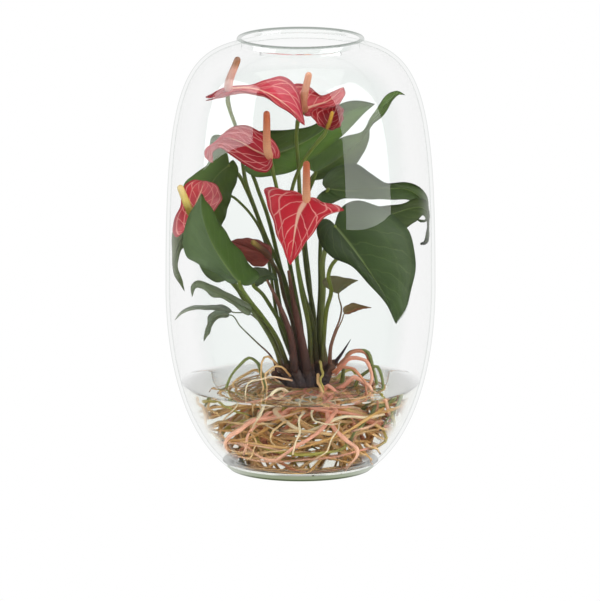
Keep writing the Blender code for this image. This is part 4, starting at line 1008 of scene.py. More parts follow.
def blade(shape, rows, half, arch, thickness, relief, wave, veins):
    """A leaf's or a spathe's closed shell, with (across, along, side) at each point.

    Row t is a line from the left edge over the midrib to the right edge, and the rows
    before LOBE_SHARE fan out from the joint. A point is rib + s width, lifted along the
    blade's normal by 4s(1-s) arch width, then by the quilting between its veins and by
    s^3 sin(waves of the margin). The shell is half its thickness to each side, thinner
    at the margin, with the midrib standing out underneath.
    """
    joint, tip = shape["midrib"][0], shape["midrib"][-1]
    along = np.linspace(0.0, 1.0, rows)
    ribs = smooth_path(shape["midrib"], (along - LOBE_SHARE) / (1 - LOBE_SHARE))[:, None]
    forward = np.subtract(tip, joint)
    halves = []
    for side, turn in (("left", 1.0), ("right", -1.0)):
        edge = smooth_path([joint, *shape[side], tip], along)[:, None]
        width = edge - ribs
        normal = turn * np.cross(width, forward)
        normal /= np.linalg.norm(normal, axis=2, keepdims=True) + 1e-9
        share = np.linspace(1.0, 0.0, half + 1)[None, :, None]
        lift = arch * np.linalg.norm(width, axis=2, keepdims=True) * normal
        halves.append(ribs + share * width + 4 * share * (1 - share) * lift)
    grid = np.concatenate([halves[0], halves[1][:, -2::-1]], axis=1)
    across = np.repeat(np.linspace(-1.0, 1.0, 2 * half + 1)[None], rows, axis=0)
    along = np.repeat(along[:, None], 2 * half + 1, axis=1)
    index = np.arange(grid[..., 0].size).reshape(grid.shape[:2])
    index[0], index[-1] = index[0, 0], index[-1, 0]
    index[: int(np.sum(along[:, 0] <= LOBE_SHARE)), half] = index[0, 0]
    used, index = np.unique(index, return_inverse=True)
    index = index.reshape(grid.shape[:2])
    points, across, along = grid.reshape(-1, 3)[used], across.ravel()[used], along.ravel()[used]
    corners = (index[:-1, :-1], index[1:, :-1], index[1:, 1:], index[:-1, 1:])
    faces = np.stack(corners, axis=-1).reshape(-1, 4)
    s = np.abs(across)
    normals = point_normals(points, faces)
    lift = relief * quilt(across, along, *veins)
    lift += wave * s**3 * np.sin(along * 31.0 + 4.0 * np.sign(across) + len(shape["left"]))
    points = points + lift[:, None] * normals
    normals = point_normals(points, faces)
    rib = np.exp(-((s / 0.05) ** 2)) * (1.15 - along) * ramp(0.0, 0.1, along)
    above = thickness * (0.5 - 0.38 * s**4)
    below = above + 0.9 * rib
    points = mm(np.vstack([points + above[:, None] * normals, points - below[:, None] * normals]))
    count = len(used)
    rim = np.concatenate([index[:, -1], index[-2::-1, 0]])
    skirt = np.stack([rim[:-1], rim[1:], rim[1:] + count, rim[:-1] + count], axis=-1)
    faces = np.vstack([faces, faces[:, ::-1] + count, skirt])
    side = np.repeat([1.0, 0.0], count)
    where = np.column_stack([np.tile(across, 2), np.tile(along, 2), side])
    return points, outwards(points, faces), where


def add_piece(name, parts, look, nodes):
    """Join the parts into one mesh and fit it to the frame.

    Each part is (points, faces, tint) or (points, faces, tint, where). A face with a
    repeated corner becomes a triangle, and one with two repeats has no area and goes.
    """
    sizes = np.cumsum([0] + [len(part[0]) for part in parts])
    points = np.vstack([part[0] for part in parts])
    quads = np.vstack([part[1] + start for part, start in zip(parts, sizes)])
    same = quads == np.roll(quads, -1, axis=1)
    repeats = same.sum(axis=1)
    triangles = quads[repeats == 1][~same[repeats == 1]].reshape(-1, 3)
    mesh = bpy.data.meshes.new(name)
    faces = quads[repeats == 0].tolist() + triangles.tolist()
    mesh.from_pydata(points.tolist(), [], faces)
    tint = np.vstack([np.broadcast_to(part[2], (len(part[0]), 3)) for part in parts])
    tint = np.column_stack([tint, np.ones(len(tint))])
    layer = mesh.attributes.new("tint", "FLOAT_COLOR", "POINT")
    layer.data.foreach_set("color", tint.astype(np.float32).ravel())
    if len(parts[0]) > 3:
        where = np.vstack([part[3] for part in parts])
        layer = mesh.attributes.new("where", "FLOAT_VECTOR", "POINT")
        layer.data.foreach_set("vector", where.astype(np.float32).ravel())
    mesh.materials.append(look)
    mesh.shade_smooth()
    mesh.set_sharp_from_angle(angle=math.radians(60))
    mesh.update()
    piece = bpy.data.objects.new(name, mesh)
    bpy.context.scene.collection.objects.link(piece)
    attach(piece, "root")
    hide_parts(*nodes)
    return piece


# Node helpers, shared node groups and materials.


def wire(tree, node, inputs):
    """Set each named or numbered input to a value, or link a socket to it."""
    for key, value in inputs.items():
        if isinstance(value, bpy.types.NodeSocket):
            tree.links.new(value, node.inputs[key])
        else:
            node.inputs[key].default_value = value
    return node


def add(tree, kind, inputs, **settings):
    node = tree.nodes.new("ShaderNode" + kind)
    for key, value in settings.items():
        setattr(node, key, value)
    return wire(tree, node, inputs)


def sums(tree, operation, *values):
    return add(tree, "Math", dict(enumerate(values)), operation=operation).outputs[0]


def mix(tree, share, first, second):
    """first where share is 0 and second where it is 1, as colours."""
    node = tree.nodes.new("ShaderNodeMix")
    node.data_type = "RGBA"
    return wire(tree, node, {0: share, 6: first, 7: second}).outputs[2]


def fade(tree, value, low, high):
    """1 up to low, 0 from high, and a smooth step between."""
    inputs = {0: value, 1: low, 2: high, 3: 1.0, 4: 0.0}
    return add(tree, "MapRange", inputs, interpolation_type="SMOOTHSTEP").outputs[0]


def swell(tree, value, span, top=1.0):
    """0 up to the start of the span, top from its end, and a smooth step between."""
    inputs = {"Value": value, "From Min": span[0], "From Max": span[1], "To Max": top}
    return add(tree, "MapRange", inputs, interpolation_type="SMOOTHSTEP").outputs[0]


def blended(tree, share, first, second):
    """The first shader where share is 0 and the second where it is 1."""
    return add(tree, "MixShader", {0: share, 1: first, 2: second}).outputs[0]


def new_group(name, inputs, outputs):
    """An empty shader group with named inputs and outputs, and its two end nodes."""
    tree = bpy.data.node_groups.new(name, "ShaderNodeTree")
    for label, kind, value in inputs:
        socket = tree.interface.new_socket(label, in_out="INPUT", socket_type=kind)
        if value is not None:
            socket.default_value = value
    for label, kind in outputs:
        tree.interface.new_socket(label, in_out="OUTPUT", socket_type=kind)
    entry = tree.nodes.new("NodeGroupInput")
    return tree, entry.outputs, tree.nodes.new("NodeGroupOutput")


def make_mottle_group():
    """Living skin: a colour that wanders a little and fine grain for the bump."""
    tree, given, out = new_group(
        "Mottled skin",
        (
            ("Colour", "NodeSocketColor", (0.5, 0.5, 0.5, 1.0)),
            ("Patch size", "NodeSocketFloat", 0.01),
            ("Patches", "NodeSocketFloat", 0.25),
            ("Grain size", "NodeSocketFloat", 0.0012),
            ("Grain", "NodeSocketFloat", 0.1),
            ("Stretch", "NodeSocketFloat", 1.0),
        ),
        (("Colour", "NodeSocketColor"), ("Grain", "NodeSocketFloat")),
    )
    place = add(tree, "TexCoord", {}).outputs["Object"]
    long_way = add(tree, "CombineXYZ", {0: 1.0, 1: 1.0, 2: given["Stretch"]}).outputs[0]
    place = add(tree, "VectorMath", {0: place, 1: long_way}, operation="MULTIPLY").outputs[0]
    bright = 1.0
    grains = []
    for size, amount in (("Patch size", "Patches"), ("Grain size", "Grain")):
        scale = sums(tree, "DIVIDE", 1.0, given[size])
        noise = add(tree, "TexNoise", {"Vector": place, "Scale": scale, "Detail": 3.0})
        swing = sums(tree, "MULTIPLY_ADD", noise.outputs["Fac"], 2.0, -1.0)
        bright = sums(tree, "ADD", bright, sums(tree, "MULTIPLY", swing, given[amount]))
        grains.append(noise.outputs["Fac"])
    scaled = {0: given["Colour"], "Scale": bright}
    toned = add(tree, "VectorMath", scaled, operation="SCALE").outputs[0]
    wire(tree, out, {0: toned, 1: grains[1]})
    return tree


def make_vein_group():
    """Midrib, side veins and looped veins, from a blade's across and along.

    Side veins lie where count along - sweep across is a whole number. Loops follow
    the margin at two shares of the width. All of them wander a little.
    """
    tree, given, out = new_group(
        "Blade veins",
        (
            ("Where", "NodeSocketVector", None),
            ("Count", "NodeSocketFloat", 9.0),
            ("Sweep", "NodeSocketFloat", 2.0),
            ("Width", "NodeSocketFloat", 0.08),
            ("Rib", "NodeSocketFloat", 0.05),
        ),
        (("Rib", "NodeSocketFloat"), ("Side veins", "NodeSocketFloat"), ("Loops", "NodeSocketFloat")),
    )
    part = add(tree, "SeparateXYZ", {0: given["Where"]}).outputs
    place = add(tree, "TexCoord", {}).outputs["Object"]
    noise = add(tree, "TexNoise", {"Vector": place, "Scale": 90.0, "Detail": 2.0})
    wander = sums(tree, "SUBTRACT", noise.outputs["Fac"], 0.5)
    across = sums(tree, "ABSOLUTE", part[0])
    rib_width = sums(tree, "MULTIPLY", given["Rib"], sums(tree, "SUBTRACT", 1.15, part[1]))
    rib = fade(tree, sums(tree, "DIVIDE", across, rib_width), 0.5, 1.3)
    run = sums(tree, "MULTIPLY", part[1], given["Count"])
    run = sums(tree, "SUBTRACT", run, sums(tree, "MULTIPLY", across, given["Sweep"]))
    run = sums(tree, "MULTIPLY_ADD", wander, 0.9, run)
    off = sums(tree, "PINGPONG", run, 0.5)
    side = fade(tree, off, 0.0, given["Width"])
    side = sums(tree, "MULTIPLY", side, fade(tree, across, 0.8, 0.97))
    wavy = sums(tree, "MULTIPLY_ADD", wander, 0.14, across)
    loops = 0.0
    for share in (0.56, 0.86):
        away = sums(tree, "ABSOLUTE", sums(tree, "SUBTRACT", wavy, share))
        loops = sums(tree, "MAXIMUM", loops, fade(tree, away, 0.0, 0.045))
    wire(tree, out, {0: rib, 1: side, 2: loops})
    return tree


def new_look(name):
    """A material with its shader, both emptied of links."""
    look = bpy.data.materials.new(name)
    look.use_nodes = True
    tree = look.node_tree
    return look, tree, tree.nodes["Principled BSDF"]


def skin_look(name, patches, grain, roughness, bump, **finish):
    """Tinted living skin: mottled colour, its roughness and a fine bump."""
    look, tree, shader = new_look(name)
    tint = add(tree, "Attribute", {}, attribute_name="tint").outputs["Color"]
    group = tree.nodes.new("ShaderNodeGroup")
    group.node_tree = bpy.data.node_groups["Mottled skin"]
    size, amount, stretch = patches
    inputs = {"Colour": tint, "Patch size": size, "Patches": amount, "Stretch": stretch}
    wire(tree, group, {**inputs, "Grain size": grain[0], "Grain": grain[1]})
    height = group.outputs["Grain"]
    rough = sums(tree, "MULTIPLY_ADD", height, roughness[1], roughness[0] - 0.5 * roughness[1])
    bumped = add(tree, "Bump", {"Strength": 1.0, "Distance": bump, "Height": height})
    links = {"Base Color": group.outputs["Colour"], "Roughness": rough}
    wire(tree, shader, {**links, "Normal": bumped.outputs[0], **finish})
    return look, tree, shader, group


def blade_look(name, patches, grain, roughness, bump, veins, vein_colour, rib_colour, **finish):
    """Skin with a midrib, side veins and loops, which also dent the bump."""
    look, tree, shader, skin = skin_look(name, patches, grain, roughness, bump, **finish)
    count, sweep, width, rib, side_share, loop_share, rib_share = veins
    where = add(tree, "Attribute", {}, attribute_name="where").outputs["Vector"]
    group = tree.nodes.new("ShaderNodeGroup")
    group.node_tree = bpy.data.node_groups["Blade veins"]
    wire(tree, group, {"Where": where, "Count": count, "Sweep": sweep, "Width": width, "Rib": rib})
    side = sums(tree, "MULTIPLY", group.outputs["Side veins"], side_share)
    loops = sums(tree, "MULTIPLY", group.outputs["Loops"], loop_share)
    veins = sums(tree, "MAXIMUM", side, loops)
    veined = mix(tree, veins, skin.outputs["Colour"], (*vein_colour, 1.0))
    ribs = sums(tree, "MULTIPLY", group.outputs["Rib"], rib_share)
    coloured = mix(tree, ribs, veined, (*rib_colour, 1.0))
    grain = sums(tree, "MULTIPLY", skin.outputs["Grain"], 0.25)
    height = sums(tree, "SUBTRACT", grain, sums(tree, "MAXIMUM", veins, ribs))
    bumped = add(tree, "Bump", {"Strength": 0.6, "Distance": 0.0004, "Height": height})
    wire(tree, shader, {"Base Color": coloured, "Normal": bumped.outputs[0]})
    return look


def glass_tint(tree, facing, tints):
    """A painted shade: a faint tint that deepens to grey at the outline, with painted shade lines at the lip
    and round the foot, and where they are.
    """
    outline = swell(tree, facing, SHADED_OUTLINE_ON)
    tint = mix(tree, outline, (*tints.glass_edge, 1.0), (*tints.painted_outline_shade, 1.0))
    place = add(tree, "TexCoord", {}).outputs["Object"]
    height = add(tree, "SeparateXYZ", {"Vector": place}).outputs["Z"]
    lip = sums(tree, "GREATER_THAN", height, LIP_LINE)
    foot = sums(tree, "LESS_THAN", height, FOOT_LINE)
    tint = mix(tree, lip, tint, (*tints.painted_lip_shade, 1.0))
    tint = mix(tree, foot, tint, (*tints.painted_foot_shade, 1.0))
    return tint, sums(tree, "MAXIMUM", lip, foot)


def clear_look(name, colour, ior, depth_colour, depth, edge_on, tints=None):
    """Clear glass or water that lets light through to cast no dark shadow.

    Where a side is seen edge on, and where light would be trapped inside, it thins out
    into a plain tint. Glass, which has painted shade tints, also takes a painted reflection near its outline:
    a white glow.
    """
    look, tree, shader = new_look(name)
    finish = {"Base Color": (*colour, 1.0), "Roughness": 0.0, "Metallic": 0.0}
    wire(tree, shader, {**finish, "Transmission Weight": 1.0, "IOR": ior})
    facing = add(tree, "LayerWeight", {"Blend": 0.5}).outputs["Facing"]
    geometry = add(tree, "NewGeometry", {}).outputs
    within = geometry["Backfacing"]
    trapped = sums(tree, "GREATER_THAN", facing, 1.0 - math.sqrt(1.0 - 1.0 / ior**2))
    edge = swell(tree, facing, edge_on)
    edge = sums(tree, "MAXIMUM", edge, sums(tree, "MULTIPLY", within, trapped))
    if tints:
        # Painted shade at the outline, the lip and the foot.
        tint, shaded_lines = glass_tint(tree, facing, tints)
        edge = sums(tree, "MAXIMUM", edge, shaded_lines)
    else:
        tint = WHITE
        rise = add(tree, "SeparateXYZ", {"Vector": geometry["Normal"]}).outputs["Z"]
        edge = sums(tree, "MULTIPLY", edge, sums(tree, "LESS_THAN", rise, LEVEL_SURFACE))
    thin = add(tree, "BsdfTransparent", {"Color": tint}).outputs[0]
    clear = blended(tree, edge, shader.outputs[0], thin)
    if tints:
        # Painted reflection: a white glow mixed into the glass near its outline.
        reflection_share = swell(tree, facing, PAINTED_REFLECTION_ON, PAINTED_REFLECTION)
        reflection_share = sums(tree, "MULTIPLY", reflection_share, sums(tree, "SUBTRACT", 1.0, within))
        white = add(tree, "Emission", {"Color": WHITE, "Strength": PAINTED_REFLECTION_GLOW})
        clear = blended(tree, reflection_share, clear, white.outputs[0])
    shadow = add(tree, "LightPath", {}).outputs["Is Shadow Ray"]
    through = add(tree, "BsdfTransparent", {}).outputs[0]
    surface = blended(tree, shadow, clear, through)
    depths = add(tree, "VolumeAbsorption", {"Color": (*depth_colour, 1.0), "Density": depth})
    end = tree.nodes["Material Output"]
    wire(tree, end, {"Surface": surface, "Volume": depths.outputs[0]})
    return look


# The vase and the water.


def inner_wall(outer, wall):
    """The outer side moved square to itself by the wall, above the floor and under the lip."""
    run = np.gradient(outer, axis=0)
    run /= np.linalg.norm(run, axis=1)[:, None]
    inner = outer + wall * np.column_stack([-run[:, 1], run[:, 0]])
    return inner[(inner[:, 1] > FLOOR_THICKNESS + 1.2) & (inner[:, 0] > LIP[0])]


def vase_walls(wall):
    """Outer and inner side from foot to lip, as (radius, height) in millimetres."""
    lower = bezier(FOOT_EDGE, *LOWER_PULLS, WIDEST, 48)
    upper = bezier(WIDEST, *UPPER_PULLS, NECK, 64)
    outer = np.vstack([lower, upper[1:]])
    return outer, inner_wall(outer, wall)


def arc(centre, radius, start, end, count):
    """centre + radius (cos a, sin a) for a from start to end in degrees."""
    angle = np.radians(np.linspace(start, end, count))
    return np.asarray(centre) + radius * np.column_stack([np.cos(angle), np.sin(angle)])


class BuildVase(bpy.types.Operator):
    """Turn the vase's glass wall, with its thick floor and rounded lip, about Z"""

    bl_idname = "anthurium.vase"
    bl_label = "Vase"

    def execute(self, context):
        sizes = context.scene.anthurium_vase
        outer, inner = vase_walls(sizes.wall / MM)
        foot = np.linspace(0.0, FOOT_RADIUS, 6)
        corner_middle = (FOOT_EDGE[0] - FOOT_CORNER, FOOT_CORNER)
        corner = arc(corner_middle, FOOT_CORNER, -90.0, -25.0, 5)
        floor_edge = inner[0, 0] - 4.0
        bowl = np.linspace(0.0, floor_edge, 8)
        middle = 0.5 * (LIP[0] + LIP[1])
        lip_radius = 0.5 * (LIP[1] - LIP[0])
        lip = arc((middle, VASE_HEIGHT - lip_radius), lip_radius, 0.0, 180.0, 13)
        outside = [*np.column_stack([foot, 0 * foot]), *corner, *outer[1:-1]]
        neck = [(NECK[0] - 0.4, NECK[1] + 0.3), (LIP[1] + 0.1, NECK[1] + 1.2)]
        inside = [(LIP[0], NECK[1] + 0.5), (LIP[0] + 0.2, NECK[1] - 2.5), *inner[::-1]]
        bottom = bezier(inner[0], inner[0] - (0.8, 1.2), (floor_edge + 1.5, 9.0), (floor_edge, 9.0), 6)
        floor = np.column_stack([bowl[::-1], FLOOR_THICKNESS - 0 * bowl])
        profile = [*outside, *neck, *lip, *inside, *bottom[1:], *floor[1:]]
        points, faces = shut(lathe(profile, sizes.sides))
        look = clear_look(
            "clear_glass", sizes.glass, GLASS_IOR, sizes.glass_depth, GLASS_DENSITY,
            GLASS_EDGE_ON, sizes,
        )
        add_piece("glass_vase", [(points, faces, (1.0, 1.0, 1.0))], look, ["vase"])
        return {"FINISHED"}


class BuildWater(bpy.types.Operator):
    """Fill the vase to the water level, with the water drawn up a little at the glass"""

    bl_idname = "anthurium.water"
    bl_label = "Water"

    def execute(self, context):
        sizes = context.scene.anthurium_vase
        level = sizes.water_level / MM
        inner = vase_walls(sizes.wall / MM)[1]
        rise = sizes.water_rise / MM
        heights = np.linspace(level + rise, FLOOR_THICKNESS + 1.4, 40)
        radii = np.interp(heights, inner[:, 1], inner[:, 0]) - WATER_GAP
        edge = radii[0]
        reach = np.array([0.0, 0.3, 0.6, 0.8, 0.9, 0.95, 0.975, 0.99]) * edge
        top = np.column_stack([reach, level + rise * np.exp((reach - edge) / 1.7)])
        floor = FLOOR_THICKNESS + WATER_GAP
        bottom = [(radii[-1] - 2.2, floor), (0.6 * radii[-1], floor), (0.0, floor)]
        side = np.column_stack([radii, heights])
        points, faces = shut(lathe([*top, *side, *bottom], sizes.sides))
        look = clear_look(
            "clear_water", WHITE[:3], WATER_IOR, sizes.water, WATER_DENSITY, WATER_EDGE_ON
        )
        add_piece("water_body", [(points, faces, (1.0, 1.0, 1.0))], look, ["water"])
        return {"FINISHED"}


# The crown and the roots.


def all_stalks():
    """The route of every stalk, sheath and scale that stands on the crown."""
    shapes = [*LEAVES.values(), *YOUNG_LEAVES.values(), *FLOWERS.values()]
    return [shape["stalk"] for shape in shapes] + [*SHEATHS.values(), SPIKE]


class BuildCrown(bpy.types.Operator):
    """Grow the short woody crown: one ringed, scarred stub under each stalk"""

    bl_idname = "anthurium.crown"
    bl_label = "Crown"

    def execute(self, context):
        parts = []
        middle = np.array(CROWN_MIDDLE)
        for number, route in enumerate(all_stalks()):
            top = np.array(route[0], dtype=float)
            foot = np.array([*(middle + 0.45 * (top[:2] - middle)), CROWN_FOOT])
            waist = 0.5 * (foot + top) + (0, 0, 1.0)
            above = top + (top - waist) * 0.25
            share = np.linspace(0.0, 1.0, 22)
            centre = mm(smooth_path([foot, waist, top, above], share))
            rings = 0.25 * np.sin(share * 40.0 + number) - 0.3 * np.abs(np.sin(share * 17.0 + number))
            radius = (4.6 - 2.0 * ramp(0.1, 0.9, share) + rings) * MM
            points, faces, share = shut(*tube_and_share(centre, radius, 12))
            tint = gradient(
                ((0.0, (74, 52, 46)), (0.35, (66, 56, 60)), (0.7, (72, 54, 50)), (1.0, (92, 62, 44))),
                share[:, 0],
            )
            parts.append((points, faces, tint))
        look = skin_look("crown_bark", (0.004, 0.35, 0.4), (0.0011, 0.3), (0.75, 0.2), 0.0008)[0]
        add_piece("woody_crown", parts, look, ["crown"])
        return {"FINISHED"}


def tangle_route(draw, inner):
    """A root that leaves the crown and winds round the vase on its way down.

    Its angle runs on by the sweep, its radius nears its reach as 1 - exp(-4t), and its
    height falls to its own level with a slow wave. Those up high lie lower on the left.
    """
    t = np.linspace(0.0, 1.0, 15)
    start, phase = draw.uniform(0.0, 2 * math.pi, 2)
    sweep = math.radians(draw.uniform(70.0, 230.0)) * draw.choice((-1.0, 1.0))
    level = draw.choice((draw.uniform(0.0, 8.0), draw.uniform(6.0, 34.0), draw.uniform(26.0, 46.0)))
    angle = start + sweep * t
    reach = draw.uniform(0.35, 0.84) ** 0.8
    height = 56.0 + (level - 50.0) * ramp(0.0, draw.uniform(0.4, 0.8), t)
    height += 3.2 * np.sin(7.0 * t + phase) * ramp(0.1, 0.5, t)
    height -= 0.010 * level * np.maximum(0.0, -np.cos(angle) - 0.1) * 16.0 * ramp(0.1, 0.6, t)
    height = np.maximum(height, FLOOR_THICKNESS + 2.2)
    room = np.interp(height, inner[:, 1], inner[:, 0]) - 3.0
    radius = 8.0 + (reach * room - 8.0) * (1 - np.exp(-4.0 * t))
    radius = np.minimum(radius * (1 + 0.07 * np.sin(9.0 * t + 2 * phase)), room)
    middle = np.array(CROWN_MIDDLE)[:, None] * (1 - ramp(0.0, 0.5, t))
    flat = middle + radius * np.stack([np.cos(angle), np.sin(angle)])
    return np.column_stack([flat.T, height])


def root_parts(route, radius, tones, number):
    """One root: a tapering tube that swells and winds a little, with a blunt dark tip."""
    rings = max(14, int(np.linalg.norm(np.diff(route, axis=0), axis=1).sum() / 3.0))
    share = np.linspace(0.0, 1.0, rings)
    centre = smooth_path(route, share)
    phase = np.array([0.0, 2.1, 4.4]) + number
    wind = 0.55 * np.sin(share[:, None] * 23.0 + phase) * ramp(0.0, 0.2, share)[:, None]
    thickness = radius * (1.0 - 0.45 * share) * (1 + 0.10 * np.sin(share * 31.0 + number))
    grid, along = tube_and_share(mm(centre + wind), thickness * MM, 8)
    points, faces, along = shut(grid, along)
    return points, faces, gradient(tones, along[:, 0])


class BuildRoots(bpy.types.Operator):
    """Wind the bare roots: arches above the water, rings below it, some on the floor"""

    bl_idname = "anthurium.roots"
    bl_label = "Roots"

    def execute(self, context):
        draw = np.random.default_rng(ROOT_SEED)
        inner = vase_walls(context.scene.anthurium_vase.wall / MM)[1]
        parts = []
        for number, (tone, radius, route) in enumerate(NAMED_ROOTS):
            parts.append(root_parts(route, radius, ROOT_TONES[tone], number))
        for number in range(TANGLE_ROOTS):
            route = tangle_route(draw, inner)
            tone = TANGLE_TONES[int(draw.integers(len(TANGLE_TONES)))]
            thickness = draw.uniform(0.45, 1.0) if number % 4 == 0 else draw.uniform(1.0, 1.7)
            parts.append(root_parts(route, thickness, ROOT_TONES[tone], number))
        look = skin_look("root_skin", (0.006, 0.22, 1.0), (0.0009, 0.12), (0.42, 0.2), 0.0004)[0]
        add_piece("bare_roots", parts, look, ["roots"])
        return {"FINISHED"}


# Leaves, stalks and flowers.


class BuildLeaves(bpy.types.Operator):
    """Loft every grown leaf between its two margins and its midrib"""

    bl_idname = "anthurium.leaves"
    bl_label = "Leaves"

    def execute(self, context):
        looks = context.scene.anthurium_plant
        look = blade_look(
            "leaf_green", (0.012, 0.16, 1.0), (0.0011, 0.05), (0.36, 0.16), 0.0001,
            (10.0, 2.6, 0.08, 0.045, 0.12, 0.04, 0.5), looks.leaf_vein, looks.leaf_vein,
            **{"Specular IOR Level": 0.3},
        )
        for name, shape in LEAVES.items():
            made = blade(
                shape, looks.rows, looks.across, LEAF_ARCH, looks.leaf_thickness / MM,
                0.35, 0.7, (10.0, 2.6),
            )
            part = (*made[:2], blade_tint(LEAF_COLOUR_AND_SHEEN[name], made[2]), made[2])
            add_piece(f"leaf_{name}", [part], look, [f"leaf_{name}_blade"])
        return {"FINISHED"}


def blade_tint(tones, where):
    """Left half's colour to the right half's, which carry painted sheen and shade, paler underneath and
    darker at the margin.
    """
    left, right = (srgb(*tone) for tone in tones)
    tint = blend(left, right, ramp(-0.12, 0.12, where[:, 0]))
    tint = blend(tint, 1.3 * tint, 1 - where[:, 2])
    edge = 1 - 0.25 * ramp(0.75, 1.0, np.abs(where[:, 0]))
    return tint * edge[:, None]


class BuildYoungLeaves(bpy.types.Operator):
    """Loft the small young leaves, each grown together with its thin stalk"""

    bl_idname = "anthurium.young_leaves"
    bl_label = "Young leaves"

    def execute(self, context):
        looks = context.scene.anthurium_plant
        look = blade_look(
            "young_leaf_green", (0.008, 0.15, 1.0), (0.0009, 0.06), (0.4, 0.15), 0.0001,
            (6.0, 2.2, 0.09, 0.08, 0.2, 0.1, 0.5), looks.leaf_vein, looks.leaf_vein,
        )
        for name, shape in YOUNG_LEAVES.items():
            made = blade(
                shape, looks.rows, 6, LEAF_ARCH, looks.leaf_thickness / MM, 0.1, 0.2, (6.0, 2.2)
            )
            tones, stalk_stops = YOUNG_TONES[name]
            parts = [(*made[:2], blade_tint(tones, made[2]), made[2])]
            route = [*shape["stalk"], shape["midrib"][0], shape["midrib"][1]]
            grid, along = rod(route, shape["stalk_radius"] * 0.85, 0.45, 40, 12)
            points, faces, along = shut(grid, along)
            where = np.column_stack([0.5 + 0 * along, along, along])
            parts.append((points, faces, gradient(stalk_stops, along[:, 0]), where))
            add_piece(f"young_{name}", parts, look, [f"young_leaf_{name}"])
        return {"FINISHED"}


def stalk_part(shape, end, stops):
    """A stalk from the crown to a blade's joint, thicker at its foot and under the joint."""
    route = [*shape["stalk"], end]
    rings = max(24, int(np.linalg.norm(np.diff(route, axis=0), axis=1).sum() / 2.5))
    share = np.linspace(0.0, 1.0, rings)
    centre = mm(smooth_path(route, share))
    swell = 1 + 0.28 * np.exp(-(((share - 0.955) / 0.03) ** 2)) + 0.35 * np.exp(-share / 0.05)
    radius = shape["stalk_radius"] * MM * (1 - 0.28 * share) * swell
    grid, along = tube_and_share(centre, radius, 16)
    points, faces, along = shut(grid, along)
    return points, faces, gradient(stops, along[:, 0])


class BuildStalks(bpy.types.Operator):
    """Run a stalk from the crown to each leaf and flower, joined to its blade"""

    bl_idname = "anthurium.stalks"
    bl_label = "Stalks"

    def execute(self, context):
        look = skin_look("stalk_green", (0.008, 0.16, 0.25), (0.0008, 0.06), (0.38, 0.15), 0.0001)[0]
        for kind, shapes in (("leaf", LEAVES), ("flower", FLOWERS)):
            for name, shape in shapes.items():
                stops = STALK_TONES.get(f"{kind}_{name}", STALK_TONES["plain"])
                part = stalk_part(shape, shape["midrib"][0], stops)
                piece = f"{kind}_{name}_stem"
                add_piece(piece, [part], look, [f"{kind}_{name}_stalk"])
        return {"FINISHED"}


class BuildSpathes(bpy.types.Operator):
    """Loft each flower's spathe, quilted between its looped veins"""

    bl_idname = "anthurium.spathes"
    bl_label = "Spathes"

    def execute(self, context):
        looks = context.scene.anthurium_plant
        veins = (7.0, 2.4)
        fresh = blade_look(
            "spathe_red", (0.009, 0.14, 1.0), (0.0012, 0.05), (0.30, 0.12), 0.0001,
            (*veins, 0.08, 0.08, 0.85, 0.75, 0.9), looks.spathe_vein, looks.spathe_rib,
        )
        old = blade_look(
            "spathe_faded_red", (0.008, 0.3, 1.0), (0.0012, 0.1), (0.5, 0.2), 0.0002,
            (*veins, 0.10, 0.06, 0.3, 0.3, 0.5), srgb(150, 75, 55), srgb(150, 90, 60),
        )
        for name, shape in FLOWERS.items():
            made = blade(
                shape, looks.rows, looks.across, SPATHE_ARCH, looks.spathe_thickness / MM,
                0.45, 0.5, veins,
            )
            part = (*made[:2], blade_tint(SPATHE_COLOUR_AND_SHEEN[name], made[2]), made[2])
            look, slot = (old, "spathe_faded_red") if name == "old" else (fresh, "spathe_red")
            add_piece(f"flower_{name}_sail", [part], look, [f"flower_{name}_spathe"])
        return {"FINISHED"}


def spike_part(shape, radius, stops):
    """The flower spike: radius(t) (1 + 0.05 cos(9a + 60t) cos(9a - 60t)), blunt at its tip."""
    foot, end = (np.array(point, dtype=float) for point in shape["spadix"])
    route = [shape["midrib"][0], 0.6 * foot + 0.4 * np.array(shape["midrib"][0]), foot, end]
    share = np.linspace(0.0, 1.0, 70)
    centre = mm(smooth_path(route, share))
    thickness = radius * MM * ramp(-0.35, 0.12, share) * (1 - 0.22 * share)
    grid, along = tube_and_share(centre, thickness, 36)
    angle = np.linspace(0.0, 2 * math.pi, 36, endpoint=False)[None]
    bump = np.cos(9 * angle + 62 * along) * np.cos(9 * angle - 62 * along)
    bump *= ramp(0.05, 0.2, along) * ramp(1.0, 0.98, along)
    middle = grid.mean(axis=1, keepdims=True)
    grid = middle + (grid - middle) * (1 + 0.055 * bump)[..., None]
    points, faces, along, bump = shut(grid, along, bump)
    # Painted shade and highlight: the colour is lighter on each tiny flower's top and darker in the hollows
    # between them.
    tint = gradient(stops, along[:, 0]) * (1 + 0.12 * bump)
    return points, faces, tint


class BuildSpikes(bpy.types.Operator):
    """Raise the flower spikes, with their rows of tiny flowers"""

    bl_idname = "anthurium.spikes"
    bl_label = "Flower spikes"

    def execute(self, context):
        look = skin_look("spadix_orange", (0.004, 0.10, 1.0), (0.0007, 0.10), (0.5, 0.15), 0.0002)[0]
        for name, shape in FLOWERS.items():
            radius = SPADIX_RADIUS.get(name, GROWN_SPADIX_RADIUS)
            stops = SPIKE_TONES.get(name, SPIKE_TONES["plain"])
            part = spike_part(shape, radius, stops)
            add_piece(f"flower_{name}_spike", [part], look, [f"flower_{name}_spadix"])
        return {"FINISHED"}


